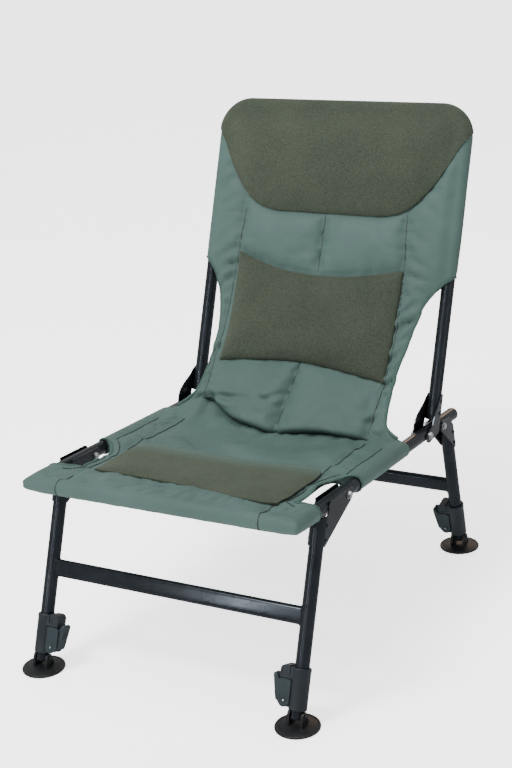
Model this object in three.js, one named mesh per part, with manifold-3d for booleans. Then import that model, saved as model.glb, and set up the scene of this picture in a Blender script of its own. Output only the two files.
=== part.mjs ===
// Low folding bankside chair: a U-shaped tubular seat frame with fabric stretched over it, a backrest
// frame that folds forward, and two leg frames that fold in under the seat. Each of the four legs has
// a telescopic inner tube with a swivelling mud foot, held by a cam lever in a plastic lock housing.
// Units are millimetres and +Z is up. The sitter faces -Y, and left and right are the sitter's own,
// so left is +X. The origin is under the middle of the bounding box, on the ground.

import * as THREE from "three";
import { mergeVertices } from "three/addons/utils/BufferGeometryUtils.js";
import Module from "manifold-3d";

const wasm = await Module();
wasm.setup();

// Tubes
const TUBE_R = 11;
const TUBE_WALL = 1.5;
const TUBE_SIDES = 16;
const INNER_TUBE_R = 9;
const INNER_TUBE_WALL = 1.4;
const SEAT_CORNER_R = 28;
const BACK_CORNER_R = 46;
const BEND_STEPS = 5;

// Clearances
const FIT = 0.3;
const OVERRUN = 5;
const MERGE = 0.0001;

// Frame layout: places along the rail are counted from the axis of the front cross tube, and those of
// the back and the rear legs from the rail's rear end
const HALF_WIDTH = 230;
const SEAT_FRONT_HEIGHT = 314;
const SEAT_SLOPE_DEG = 4.6;
const FRONT_LEG_AT = 85;
const FRONT_PIVOT_AT = 154;
const RAIL_LENGTH = 602;
const BACK_PIVOT_FROM_END = 131;
const BACK_FROM_END = 92;
const REAR_PIVOT_FROM_END = 71;
const REAR_LEG_FROM_END = 31;
const BACK_PIVOT_AT = RAIL_LENGTH - BACK_PIVOT_FROM_END;
const BACK_AT = RAIL_LENGTH - BACK_FROM_END;
const REAR_PIVOT_AT = RAIL_LENGTH - REAR_PIVOT_FROM_END;
const REAR_LEG_AT = RAIL_LENGTH - REAR_LEG_FROM_END;
const FRONT_LEG_LEAN_DEG = 21.5;
const REAR_LEG_LEAN_DEG = 12;
const RECLINE_DEG = 21.6;
const BACK_LENGTH = 538;
const FRONT_CROSSBAR_HEIGHT = 157;
const REAR_CROSSBAR_HEIGHT = 130;
const CROSSBAR_WIDTH = 28;
const CROSSBAR_DEPTH = 14;

// Hinge brackets: a channel round the tube, with two ears beside the rail
const PLATE = 2;
const BRACKET_REACH = 56;
const EAR_R = 10;
const REAR_EAR_R = 9;
const EAR_TIP_OFFSET = 2;
const EAR_SHOULDER_BACK = 6;
const EAR_SHOULDER_DROP = 19;
const EAR_FACETS = 6;
const BACK_BRACKET_REACH = 60;
const BACK_EAR_R = 12;
const BACK_EAR_BULGE = 49;
const BACK_EAR_SLIM = 28;
const BACK_EAR_OUT_SHARES = [0.36, 0.78, 1];
const BACK_EAR_DROP_SHARES = [0.32, 0.62, 0.92];
const BACK_NOTCH = 7;
const BACK_HEEL = 2.5;

// Pivot bolts and nuts
const BOLT_R = 3;
const BOLT_HEAD_R = 5.8;
const BOLT_HEAD = 4;
const NUT_R = 5.8;
const NUT = 5;
const BOLT_STAND_OUT = 2;
const ROUND_SIDES = 12;

// Leg lock housings and cam levers: heights are counted along the leg from the ground
const LOCK_BOTTOM = 30;
const LOCK_LENGTH = 63;
const LOCK_R = 14.2;
const LOCK_LIP = 4;
const LOCK_BOX_REACH = 28.4;
const LOCK_BOX_HALF = 9.4;
const LOCK_BOX_INSET = 3;
const LOCK_BOX_CHAMFER = 7;
const LOCK_HEAD_REACH = 29.4;
const LOCK_HEAD_HALF = 11.6;
const LOCK_HEAD_BOTTOM = 46;
const LOCK_HEAD_RISE = 2;
const LOCK_HEAD_CORNER = 7;
const LEVER_CHEEK = 2;
const LEVER_WEB = 3;
const LEVER_WEB_START = 4;
const LEVER_HUB_R = 9.6;
const LEVER_PIVOT_OUT = 20;
const LEVER_PIVOT_RISE = 12;
const LEVER_SWEEP_R = 32.5;
const LEVER_NECK_OUT = 10.6;
const LEVER_TIP_OUT = 39;
const LEVER_TIP_RISE = 48;
const LEVER_TIP_R = 2.6;
const LEVER_TAB_FOOT_OUT = 34;
const LEVER_TAB_FOOT_RISE = 10;
const LEVER_TAB_WAIST_RISE = 21;
const LEVER_PIN_R = 1.6;

// Telescopic feet
const FOOT_R = 35;
const FOOT_THICK = 4.5;
const FOOT_DOME = 2.5;
const FOOT_SIDES = 28;
const FOOT_PIN_HEIGHT = 21;
const FOOT_PIN_R = 2.6;
const FOOT_PIN_STAND_OUT = 1.6;
const FOOT_LUG = 4;
const FOOT_LUG_R = 6.5;
const FOOT_LUG_BASE = 11;
const INNER_TUBE_BELOW_PIN = 7;
const INNER_TUBE_LENGTH = 185;

// Rail end caps
const CAP_DOME = 7;
const CAP_PLUG = 14;

// Seat fabric
const CLOTH = 2;
const SLEEVE_SIDES = 16;
const SEAT_SLEEVE_TO_PIVOT = 56;
const SEAT_SLEEVE_END = BACK_PIVOT_AT - SEAT_SLEEVE_TO_PIVOT;
const SEAT_SAG = 14;
const SEAT_SAG_RUN = 190;
const SEAT_WAIST_INSET = 26;
const CUTOUT_START = 60;
const CUTOUT_END = 214;
const CUTOUT_DEPTH = 50;
const CUTOUT_CORNER = 34;
const SEAT_CLOTH_CORNER_R = 30;
const BACK_CLOTH_CORNER_R = 59;
const SHEET_ROWS = 10;
const SHEET_COLS = 12;

// Back fabric: heights run up the back frame, and prouds are distances in front of its plane
const BACK_SLEEVE_START = 258;
const BACK_CLOTH_START = 246;
const CREASE_HEIGHT = -37;
const CREASE_PROUD = 131;
const LUMBAR_LOW_HEIGHT = 89;
const LUMBAR_LOW_PROUD = 62;
const WAIST_PROUD = 24;
const MID_BACK_HEIGHT = 350;
const MID_BACK_PROUD = 17;
const PANEL_QUILT = 6;
const PANEL_GAP = 0.4;
const PANEL_TOP_INSET = 14;
const PANEL_WAIST_INSET = 48;
const PANEL_WAIST_HEIGHT = 112;
const PANEL_FOOT_INSET = 38;
const PANEL_CHANNEL = 2.5;
const PANEL_CHANNEL_SHARES = [0.17, 0.5, 0.83];

// Pads: each is a crowned cushion sewn on the fabric
const PAD_EDGE = 3;
const PAD_GAP = 0.6;
const PAD_COLS = 14;
const PAD_ROWS = 9;
const SEAT_PAD_INSET = 72;
const SEAT_PAD_BOW = 6;
const SEAT_PAD_FRONT = 72;
const SEAT_PAD_REAR = 236;
const SEAT_PAD_CROWN = 15;
const LUMBAR_INSET = 78;
const LUMBAR_LOW = 70;
const LUMBAR_HIGH = 264;
const LUMBAR_CROWN = 18;
const LUMBAR_DRAWN_IN = 14;
const HEAD_INSET = 8;
const HEAD_LOW = 350;
const HEAD_HIGH = 534;
const HEAD_LOW_INSET = 102;
const HEAD_CROWN = 22;
const HEAD_SHOULDER = 455;
const HEAD_CORNER_R = 40;

// Colours, roughness and metalness
const finish = (color, roughness, metalness) => ({ color, roughness, metalness });
const POWDER_COAT = finish(0x17181a, 0.35, 0.3);
const PLASTIC = finish(0x2a2f33, 0.6, 0.0);
const ZINC = finish(0xb9bcbf, 0.3, 0.9);
const CANVAS = finish(0x5f766e, 0.85, 0.0);
const FLEECE = finish(0x4f5a4b, 0.95, 0.0);

const rad = THREE.MathUtils.degToRad;
const lerp = THREE.MathUtils.lerp;

// A closed three.js geometry as a solid that can be joined and cut, with its faces turned outward
function solid(geometry) {
  const bare = geometry.clone();
  bare.deleteAttribute("normal");
  bare.deleteAttribute("uv");
  const merged = mergeVertices(bare, MERGE);
  const vertProperties = merged.attributes.position.array;
  const triVerts = new Uint32Array(merged.index.array);
  const made = new wasm.Manifold(new wasm.Mesh({ numProp: 3, vertProperties, triVerts }));
  if (made.volume() > 0) return made;
  for (let i = 0; i < triVerts.length; i += 3) {
    [triVerts[i + 1], triVerts[i + 2]] = [triVerts[i + 2], triVerts[i + 1]];
  }
  return new wasm.Manifold(new wasm.Mesh({ numProp: 3, vertProperties, triVerts }));
}

// A solid back as a three.js geometry
function geometryOf(body) {
  const mesh = body.getMesh();
  const points = new Float32Array(mesh.numVert * 3);
  for (let i = 0; i < mesh.numVert; i++) {
    points.set(mesh.vertProperties.subarray(i * mesh.numProp, i * mesh.numProp + 3), i * 3);
  }
  const geometry = new THREE.BufferGeometry();
  geometry.setAttribute("position", new THREE.BufferAttribute(points, 3));
  geometry.setIndex(new THREE.BufferAttribute(new Uint32Array(mesh.triVerts), 1));
  geometry.computeVertexNormals();
  return geometry;
}

function piece(name, body, look, parent) {
  const geometry = body.isBufferGeometry ? body : geometryOf(body);
  const mesh = new THREE.Mesh(geometry, new THREE.MeshStandardMaterial(look));
  mesh.name = name;
  parent.add(mesh);
  return mesh;
}

// Cylinder along X, Y or Z, centred on a point
function rod(axis, radius, length, at = [0, 0, 0], sides = TUBE_SIDES) {
  const geometry = new THREE.CylinderGeometry(radius, radius, length, sides);
  geometry.rotateY(Math.PI / sides);
  if (axis === "x") geometry.rotateZ(Math.PI / 2);
  if (axis === "z") geometry.rotateX(Math.PI / 2);
  geometry.translate(...at);
  return solid(geometry);
}

function block(low, high) {
  const size = high.map((value, i) => value - low[i]);
  const geometry = new THREE.BoxGeometry(...size);
  geometry.translate(...high.map((value, i) => (value + low[i]) / 2));
  return solid(geometry);
}

// Plate with an outline in the Y-Z plane, between two X places
function plateYZ(points, x0, x1) {
  const outline = new THREE.Shape(points.map(([y, z]) => new THREE.Vector2(y, z)));
  const geometry = new THREE.ExtrudeGeometry(outline, { depth: x1 - x0, bevelEnabled: false });
  const turn = new THREE.Matrix4().set(0, 0, 1, x0, 1, 0, 0, 0, 0, 1, 0, 0, 0, 0, 0, 1);
  return solid(geometry.applyMatrix4(turn));
}

// Plate with an outline in the X-Z plane, between two Y places
function plateXZ(points, y0, y1) {
  const outline = new THREE.Shape(points.map(([x, z]) => new THREE.Vector2(x, z)));
  const geometry = new THREE.ExtrudeGeometry(outline, { depth: y1 - y0, bevelEnabled: false });
  const turn = new THREE.Matrix4().set(1, 0, 0, 0, 0, 0, -1, y1, 0, 1, 0, 0, 0, 0, 0, 1);
  return solid(geometry.applyMatrix4(turn));
}

// Plate with an outline in the X-Y plane, between two Z places
function plateXY(points, z0, z1) {
  const outline = new THREE.Shape(points.map(([x, y]) => new THREE.Vector2(x, y)));
  const geometry = new THREE.ExtrudeGeometry(outline, { depth: z1 - z0, bevelEnabled: false });
  return solid(geometry.translate(0, 0, z0));
}

// Points of an arc round a centre, from one angle to another in degrees
function arc([cx, cy], radius, from, to, steps) {
  return Array.from({ length: steps + 1 }, (_, i) => {
    const angle = rad(lerp(from, to, i / steps));
    return [cx + radius * Math.cos(angle), cy + radius * Math.sin(angle)];
  });
}

// Hollow or solid tube through stations that lie in one plane; each station has a place and a heading
function sweptTube(stations, outerR, innerR, planeNormal, sides = TUBE_SIDES) {
  const rings = innerR > 0 ? 2 : 1;
  const points = [];
  for (const { at, heading } of stations) {
    const side = new THREE.Vector3().crossVectors(heading, planeNormal).normalize();
    for (let r = 0; r < rings; r++) {
      const radius = r === 0 ? outerR : innerR;
      for (let i = 0; i < sides; i++) {
        const angle = (2 * Math.PI * (i + 0.5)) / sides;
        const spoke = side.clone().multiplyScalar(Math.cos(angle) * radius);
        spoke.addScaledVector(planeNormal, Math.sin(angle) * radius);
        points.push(...spoke.add(at).toArray());
      }
    }
  }
  const index = [];
  const vertex = (station, ring, i) => (station * rings + ring) * sides + (i % sides);
  const quad = (a, b, c, d) => index.push(a, b, c, a, c, d);
  for (let s = 0; s + 1 < stations.length; s++) {
    for (let i = 0; i < sides; i++) {
      quad(vertex(s, 0, i), vertex(s, 0, i + 1), vertex(s + 1, 0, i + 1), vertex(s + 1, 0, i));
      if (rings === 2) {
        quad(vertex(s, 1, i), vertex(s + 1, 1, i), vertex(s + 1, 1, i + 1), vertex(s, 1, i + 1));
      }
    }
  }
  const last = stations.length - 1;
  for (let i = 0; i < sides; i++) {
    if (rings === 2) {
      quad(vertex(0, 0, i), vertex(0, 1, i), vertex(0, 1, i + 1), vertex(0, 0, i + 1));
      quad(vertex(last, 0, i), vertex(last, 0, i + 1), vertex(last, 1, i + 1), vertex(last, 1, i));
    } else if (i > 0 && i + 1 < sides) {
      index.push(vertex(0, 0, 0), vertex(0, 0, i + 1), vertex(0, 0, i));
      index.push(vertex(last, 0, 0), vertex(last, 0, i), vertex(last, 0, i + 1));
    }
  }
  const geometry = new THREE.BufferGeometry();
  geometry.setAttribute("position", new THREE.BufferAttribute(new Float32Array(points), 3));
  geometry.setIndex(index);
  return solid(geometry);
}

// Stations of a U: down one side, across and back up the other, in a plane spanned by X and "along"
function uStations(halfWidth, corner, legEnd, along) {
  const place = (x, a) => new THREE.Vector3(x, 0, 0).addScaledVector(along, a);
  const heading = (angle) => {
    const x = new THREE.Vector3(Math.cos(angle), 0, 0);
    return x.addScaledVector(along, -Math.sin(angle));
  };
  const stations = [{ at: place(-halfWidth, legEnd), heading: heading(Math.PI / 2) }];
  for (let i = 0; i <= BEND_STEPS; i++) {
    const angle = (Math.PI / 2) * (1 - i / BEND_STEPS);
    const x = -halfWidth + corner - corner * Math.sin(angle);
    const a = corner - corner * Math.cos(angle);
    stations.push({ at: place(x, a), heading: heading(angle) });
  }
  for (let i = 0; i <= BEND_STEPS; i++) {
    const angle = -(Math.PI / 2) * (i / BEND_STEPS);
    const x = halfWidth - corner + corner * Math.sin(-angle);
    const a = corner - corner * Math.cos(angle);
    stations.push({ at: place(x, a), heading: heading(angle) });
  }
  stations.push({ at: place(halfWidth, legEnd), heading: heading(-Math.PI / 2) });
  return stations;
}

// Where the seat, legs and back stand in the side view, as [y, z] places and leans from upright
const seatSlope = rad(SEAT_SLOPE_DEG);
const railPoint = (along, above = 0) => [
  along * Math.cos(seatSlope) + above * Math.sin(seatSlope),
  SEAT_FRONT_HEIGHT - along * Math.sin(seatSlope) + above * Math.cos(seatSlope),
];
const sides = [
  ["left", 1],
  ["right", -1],
];

// A member that crosses the rail: its own frame has Z along it and Y square to it, towards the rear
function member(at, leanDeg, fromGround) {
  const lean = rad(leanDeg);
  const [y, z] = railPoint(at);
  const reach = fromGround ? z / Math.cos(lean) : 0;
  const origin = [y - reach * Math.sin(lean), z - reach * Math.cos(lean)];
  const toLocal = ([py, pz]) => {
    const dy = py - origin[0];
    const dz = pz - origin[1];
    return [dy * Math.cos(lean) - dz * Math.sin(lean), dy * Math.sin(lean) + dz * Math.cos(lean)];
  };
  const group = new THREE.Group();
  group.position.set(0, origin[0], origin[1]);
  group.rotation.x = -lean;
  // Angle from the rail's normal, and the height of the rail's skin beside the member's axis
  const skew = lean - seatSlope;
  const skin = (y2) => (TUBE_R + FIT) / Math.cos(skew) + Math.abs(y2 * Math.tan(skew));
  return { group, reach, toLocal, skin, skew };
}

const chair = new THREE.Group();
const frontLeg = member(FRONT_LEG_AT, FRONT_LEG_LEAN_DEG, true);
const rearLeg = member(REAR_LEG_AT, -REAR_LEG_LEAN_DEG, true);
const back = member(BACK_AT, RECLINE_DEG, false);
const seat = new THREE.Group();
seat.position.set(0, ...railPoint(0));
seat.rotation.x = -seatSlope;
chair.add(seat, frontLeg.group, rearLeg.group, back.group);

// Seat frame: its group has Y rearwards along the rails and Z square to them
const railAlong = new THREE.Vector3(0, 1, 0);
const seatNormal = new THREE.Vector3(0, 0, 1);
const holeR = BOLT_R + FIT;

function makeSeatFrame() {
  const stations = uStations(HALF_WIDTH, SEAT_CORNER_R, RAIL_LENGTH, railAlong);
  let tube = sweptTube(stations, TUBE_R, TUBE_R - TUBE_WALL, seatNormal);
  for (const at of [FRONT_PIVOT_AT, BACK_PIVOT_AT, REAR_PIVOT_AT]) {
    const length = 2 * (HALF_WIDTH + TUBE_R + OVERRUN);
    tube = tube.subtract(rod("x", holeR, length, [0, at, 0], ROUND_SIDES));
  }
  piece("seat_tube", tube, POWDER_COAT, seat);

  // Domed plugs close the rails' rear ends
  const plugR = TUBE_R - TUBE_WALL - FIT;
  for (const [side, sign] of sides) {
    const profile = [
      new THREE.Vector2(0, -CAP_PLUG),
      new THREE.Vector2(plugR, -CAP_PLUG),
      new THREE.Vector2(plugR, FIT),
      new THREE.Vector2(TUBE_R, FIT),
    ];
    for (let i = 1; i <= 4; i++) {
      const angle = (Math.PI / 2) * (i / 4);
      const x = i === 4 ? 0 : TUBE_R * Math.cos(angle);
      profile.push(new THREE.Vector2(x, FIT + CAP_DOME * Math.sin(angle)));
    }
    const cap = new THREE.LatheGeometry(profile, TUBE_SIDES);
    cap.rotateY(Math.PI / TUBE_SIDES);
    cap.translate(sign * HALF_WIDTH, RAIL_LENGTH, 0);
    piece("rail_cap_" + side, solid(cap), PLASTIC, seat);
  }
}

// A pivot bolt runs through both ears and the rail, head outwards, with a locking nut inside
function makePivot(name, at, sign, side) {
  const outer = TUBE_R + FIT + PLATE + FIT;
  const length = 2 * outer + NUT + BOLT_STAND_OUT;
  const head = rod("x", BOLT_HEAD_R, BOLT_HEAD, [outer + BOLT_HEAD / 2, 0, 0], 6);
  const shank = rod("x", BOLT_R, length, [outer - length / 2, 0, 0], ROUND_SIDES);
  const nutX = -outer - NUT / 2;
  const nut = rod("x", NUT_R, NUT, [nutX, 0, 0], 6).subtract(
    rod("x", holeR, NUT + OVERRUN, [nutX, 0, 0], ROUND_SIDES),
  );
  const bolt = head.add(shank);
  for (const [kind, body] of [["bolt", bolt], ["nut", nut]]) {
    const geometry = geometryOf(body);
    if (sign < 0) geometry.rotateZ(Math.PI);
    const mesh = piece(name + "_" + kind + "_" + side, geometry, ZINC, seat);
    mesh.position.set(sign * HALF_WIDTH, at, 0);
  }
}

// Channel bracket of a leg: wraps the leg on one side (wrap -1 is the front) below the rail, and its
// ears rise beside the rail to the pivot on the other side
function legBracket(leg, pivotAt, wrap, earR) {
  const pivot = leg.toLocal(railPoint(pivotAt));
  const half = TUBE_R + FIT + PLATE;
  const up = leg.reach;
  const railHead = THREE.MathUtils.radToDeg(leg.skew);
  const low = up - BRACKET_REACH;
  const shoulder = [-wrap * EAR_SHOULDER_BACK, up + EAR_R];
  const neck = [0, up - EAR_SHOULDER_DROP / 2];
  const throat = [wrap * half, up - leg.skin(half) - FIT];
  // The ear's lower edge leaves the tip as a tangent to the circle round the bolt
  const tip = [-wrap * EAR_TIP_OFFSET, low];
  const span = Math.hypot(pivot[0] - tip[0], pivot[1] - tip[1]);
  const aim = Math.atan2(pivot[1] - tip[1], pivot[0] - tip[0]);
  const lean = Math.asin(earR / span);
  const start = THREE.MathUtils.radToDeg(aim + wrap * lean) + wrap * 90;
  const top = 90 + railHead;
  const outline = [
    [wrap * half, low],
    tip,
    ...arc(pivot, earR, start, wrap < 0 ? top : top - 360 * (top > start ? 1 : 0), EAR_FACETS),
    shoulder,
    neck,
    throat,
  ];
  let body = plateYZ(wrap < 0 ? outline : outline.reverse(), -half, half);
  const column = rod("z", half, up, [0, 0, up / 2]);
  const [near, far] = wrap < 0 ? [0, pivot[0] + 2 * earR] : [pivot[0] - 2 * earR, 0];
  const behind = block([-half, near, 0], [half, far, 2 * up]);
  body = body.intersect(column.add(behind));
  body = body.subtract(rod("z", TUBE_R + FIT, 3 * up, [0, 0, up]));
  const slotHalf = TUBE_R + FIT;
  const slot = block([-slotHalf, near, 0], [slotHalf, far, 2 * up]);
  body = body.subtract(slot);
  return body.subtract(rod("x", holeR, 4 * half, [0, ...pivot], ROUND_SIDES));
}

// Lock housing: a collar round the leg's end, with a box and a wider head on the inner side
function lockHousing() {
  const top = LOCK_BOTTOM + LOCK_LENGTH;
  const middle = (LOCK_BOTTOM + top) / 2;
  const boxLow = LOCK_BOTTOM + LOCK_BOX_INSET;
  const headLow = LOCK_BOTTOM + LOCK_HEAD_BOTTOM;
  const headHigh = top + LOCK_HEAD_RISE;
  const collar = rod("z", LOCK_R, LOCK_LENGTH, [0, 0, middle]);
  const boxOutline = [
    [0, boxLow],
    [LOCK_BOX_REACH - LOCK_BOX_CHAMFER, boxLow],
    [LOCK_BOX_REACH, boxLow + LOCK_BOX_CHAMFER],
    [LOCK_BOX_REACH, headLow + LEVER_CHEEK],
    [0, headLow + LEVER_CHEEK],
  ];
  const round = [LOCK_HEAD_REACH - LOCK_HEAD_CORNER, headHigh - LOCK_HEAD_CORNER];
  const headOutline = [
    [0, headLow],
    [LOCK_HEAD_REACH, headLow],
    ...arc(round, LOCK_HEAD_CORNER, 0, 90, 3),
    [LOCK_R, headHigh],
    [LOCK_R, top],
    [0, top],
  ];
  let body = collar.add(plateXZ(boxOutline, -LOCK_BOX_HALF, LOCK_BOX_HALF));
  body = body.add(plateXZ(headOutline, -LOCK_HEAD_HALF, LOCK_HEAD_HALF));
  const boreFloor = LOCK_BOTTOM + LOCK_LIP;
  const boreLength = top + OVERRUN - boreFloor;
  body = body.subtract(rod("z", TUBE_R + FIT, boreLength, [0, 0, boreFloor + boreLength / 2]));
  body = body.subtract(rod("z", INNER_TUBE_R + FIT, 2 * top, [0, 0, middle]));
  const pinAt = [LEVER_PIVOT_OUT, 0, LOCK_BOTTOM + LEVER_PIVOT_RISE];
  return body.subtract(rod("y", LEVER_PIN_R + FIT, 4 * LOCK_BOX_HALF, pinAt, ROUND_SIDES));
}

// Cam lever: two cheeks beside the box, a web across it, and a finger tab that leans away
function camLever() {
  const hub = [LEVER_PIVOT_OUT, LOCK_BOTTOM + LEVER_PIVOT_RISE];
  const webIn = LOCK_BOX_REACH + FIT;
  const webOut = webIn + LEVER_WEB;
  const reachAt = (out) => {
    const rise = Math.sqrt(LEVER_SWEEP_R ** 2 - (out - hub[0]) ** 2);
    return [out, hub[1] + rise];
  };
  const cheek = [
    reachAt(webOut),
    reachAt(hub[0]),
    reachAt(LEVER_NECK_OUT),
    ...arc(hub, LEVER_HUB_R, 180, 300, EAR_FACETS),
    [webOut, hub[1]],
  ];
  const tip = [LEVER_TIP_OUT, LOCK_BOTTOM + LEVER_TIP_RISE];
  const foot = [LEVER_TAB_FOOT_OUT, LOCK_BOTTOM + LEVER_TAB_FOOT_RISE];
  const tab = [
    [webIn, hub[1] + LEVER_WEB_START],
    foot,
    [foot[0] + LEVER_TIP_R, LOCK_BOTTOM + LEVER_TAB_WAIST_RISE],
    ...arc(tip, LEVER_TIP_R, 0, 160, 4),
    reachAt(webOut),
    reachAt(webIn),
  ];
  const half = LOCK_BOX_HALF + FIT + LEVER_CHEEK;
  let body = plateXZ(cheek, -half, half);
  const clear = half - LEVER_CHEEK;
  const inside = block([0, -clear, 0], [webIn, clear, 2 * LOCK_LENGTH]);
  const below = block([0, -clear, 0], [webOut + OVERRUN, clear, hub[1] + LEVER_WEB_START]);
  body = body.subtract(inside.add(below)).add(plateXZ(tab, -half, half));
  return body.subtract(rod("y", LEVER_PIN_R + FIT, 4 * half, [hub[0], 0, hub[1]], ROUND_SIDES));
}

function innerTube(pinAlong) {
  const low = pinAlong - INNER_TUBE_BELOW_PIN;
  const middle = low + INNER_TUBE_LENGTH / 2;
  const body = rod("z", INNER_TUBE_R, INNER_TUBE_LENGTH, [0, 0, middle]).subtract(
    rod("z", INNER_TUBE_R - INNER_TUBE_WALL, 2 * INNER_TUBE_LENGTH, [0, 0, middle]),
  );
  return body.subtract(rod("x", FOOT_PIN_R + FIT, 4 * TUBE_R, [0, 0, pinAlong], ROUND_SIDES));
}

// Mud foot: a domed disc with two lugs that the pin passes through; its own group is upright
function mudFoot() {
  const profile = [
    [0, 0],
    [FOOT_R - FOOT_THICK / 3, 0],
    [FOOT_R, FOOT_THICK / 3],
    [FOOT_R, FOOT_THICK / 2],
    [FOOT_R - FOOT_THICK / 2, FOOT_THICK],
    [FOOT_LUG_BASE + FOOT_LUG, FOOT_THICK + FOOT_DOME / 2],
    [FOOT_LUG_BASE, FOOT_THICK + FOOT_DOME],
    [0, FOOT_THICK + FOOT_DOME],
  ];
  const disc = new THREE.LatheGeometry(
    profile.map(([r, z]) => new THREE.Vector2(r, z)),
    FOOT_SIDES,
  );
  disc.rotateX(Math.PI / 2);
  let body = solid(disc);
  const lugOutline = [
    [-FOOT_LUG_BASE, FOOT_THICK],
    [FOOT_LUG_BASE, FOOT_THICK],
    ...arc([0, FOOT_PIN_HEIGHT], FOOT_LUG_R, 0, 180, EAR_FACETS),
  ];
  const gap = INNER_TUBE_R + FIT;
  for (const sign of [1, -1]) {
    const x0 = sign > 0 ? gap : -gap - FOOT_LUG;
    body = body.add(plateYZ(lugOutline, x0, x0 + FOOT_LUG));
  }
  return body.subtract(
    rod("x", FOOT_PIN_R + FIT, 4 * FOOT_LUG_BASE, [0, 0, FOOT_PIN_HEIGHT], ROUND_SIDES),
  );
}

// One leg frame: two legs joined by a flattened crossbar, with brackets, locks, levers and feet
function makeLegs(name, leg, leanDeg, pivotAt, wrap, earR, crossbarHeight) {
  const lean = rad(leanDeg);
  const crossbarAt = crossbarHeight / Math.cos(lean);
  const pinAlong = FOOT_PIN_HEIGHT / Math.cos(lean);
  const tubeLow = LOCK_BOTTOM + LOCK_LIP + FIT;
  const tubeHigh = leg.reach - leg.skin(TUBE_R);
  const tubeMiddle = (tubeLow + tubeHigh) / 2;
  const bracket = legBracket(leg, pivotAt, wrap, earR);
  const housing = lockHousing();
  const lever = camLever();
  const slider = innerTube(pinAlong);
  const foot = mudFoot();
  for (const [side, sign] of sides) {
    const tube = rod("z", TUBE_R, tubeHigh - tubeLow, [0, 0, tubeMiddle]).subtract(
      rod("z", TUBE_R - TUBE_WALL, tubeHigh, [0, 0, tubeMiddle]),
    );
    const corner = new THREE.Group();
    corner.position.x = sign * HALF_WIDTH;
    leg.group.add(corner);
    piece(name + "_leg_tube_" + side, tube, POWDER_COAT, corner);
    piece(name + "_leg_bracket_" + side, bracket, POWDER_COAT, corner);
    // The lock, its lever and pin face the chair's middle
    const inward = new THREE.Group();
    if (sign > 0) inward.rotation.z = Math.PI;
    corner.add(inward);
    piece(name + "_lock_housing_" + side, housing, PLASTIC, inward);
    piece(name + "_lock_lever_" + side, lever, PLASTIC, inward);
    const pinAt = [LEVER_PIVOT_OUT, 0, LOCK_BOTTOM + LEVER_PIVOT_RISE];
    const pinLength = 2 * (LOCK_BOX_HALF + FIT + LEVER_CHEEK);
    piece(name + "_lever_pin_" + side, rod("y", LEVER_PIN_R, pinLength, pinAt, ROUND_SIDES), ZINC, inward);
    piece(name + "_inner_tube_" + side, slider, ZINC, corner);
    const footPin = 2 * (INNER_TUBE_R + FIT + FOOT_LUG + FOOT_PIN_STAND_OUT);
    const footAxle = rod("x", FOOT_PIN_R, footPin, [0, 0, pinAlong], ROUND_SIDES);
    piece(name + "_foot_pin_" + side, footAxle, ZINC, corner);
    // The foot stands flat on the ground under its pin
    const upright = new THREE.Group();
    upright.position.z = pinAlong;
    upright.rotation.x = lean;
    corner.add(upright);
    piece(name + "_foot_" + side, foot, PLASTIC, upright).position.z = -FOOT_PIN_HEIGHT;
  }
  const barHalf = CROSSBAR_DEPTH / 2;
  const flat = (CROSSBAR_WIDTH - CROSSBAR_DEPTH) / 2;
  const section = [...arc([0, flat], barHalf, 0, 180, 6), ...arc([0, -flat], barHalf, 180, 360, 6)];
  let bar = plateYZ(section.map(([y, z]) => [y, z + crossbarAt]), -HALF_WIDTH, HALF_WIDTH);
  for (const [, sign] of sides) {
    bar = bar.subtract(rod("z", TUBE_R + FIT, 2 * leg.reach, [sign * HALF_WIDTH, 0, leg.reach]));
  }
  piece(name + "_crossbar", bar, POWDER_COAT, leg.group);
}

// Back frame: an inverted U with a bracket at the foot of each upright
function backBracket() {
  const pivot = back.toLocal(railPoint(BACK_PIVOT_AT));
  const half = TUBE_R + FIT + PLATE;
  const throat = back.skin(half) + FIT;
  const wrapSide = (bulge, heel) => [
    [half, throat],
    [half, BACK_BRACKET_REACH],
    [0, BACK_BRACKET_REACH],
    ...BACK_EAR_OUT_SHARES.map((out, i) => [
      -bulge * out,
      BACK_BRACKET_REACH * (1 - BACK_EAR_DROP_SHARES[i]),
    ]),
    ...arc(pivot, BACK_EAR_R, 180, 300, EAR_FACETS),
    [heel, -EAR_R / 2],
    [heel, throat],
  ];
  const crescent = plateYZ(wrapSide(BACK_EAR_BULGE, -BACK_NOTCH).reverse(), -half, -TUBE_R - FIT);
  const hook = plateYZ(wrapSide(BACK_EAR_SLIM, BACK_HEEL).reverse(), TUBE_R + FIT, half);
  const length = BACK_BRACKET_REACH - throat;
  const middle = throat + length / 2;
  let wrap = rod("z", half, length, [0, 0, middle]);
  const flank = block([-half, 0, throat], [half, half, BACK_BRACKET_REACH]);
  wrap = wrap.intersect(flank);
  let body = crescent.add(hook).add(wrap);
  body = body.subtract(rod("z", TUBE_R + FIT, 4 * BACK_BRACKET_REACH, [0, 0, middle]));
  const inside = TUBE_R + FIT;
  const front = block([-inside, -2 * BACK_EAR_BULGE, -BACK_EAR_BULGE], [inside, 0, 2 * BACK_BRACKET_REACH]);
  body = body.subtract(front);
  // Behind the upright's axis the plates end on the wrap's round outside
  const keep = rod("z", half, 4 * BACK_BRACKET_REACH, [0, 0, middle]).add(
    block([-half, -2 * BACK_EAR_BULGE, -2 * BACK_EAR_BULGE], [half, 0, 2 * BACK_BRACKET_REACH]),
  );
  const below = block([-half, 0, -BACK_EAR_BULGE], [half, half, throat]);
  body = body.intersect(keep.add(below));
  return body.subtract(rod("x", holeR, 4 * half, [0, ...pivot], ROUND_SIDES));
}

const backDown = new THREE.Vector3(0, 0, -1);
const backNormal = new THREE.Vector3(0, 1, 0);

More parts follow.
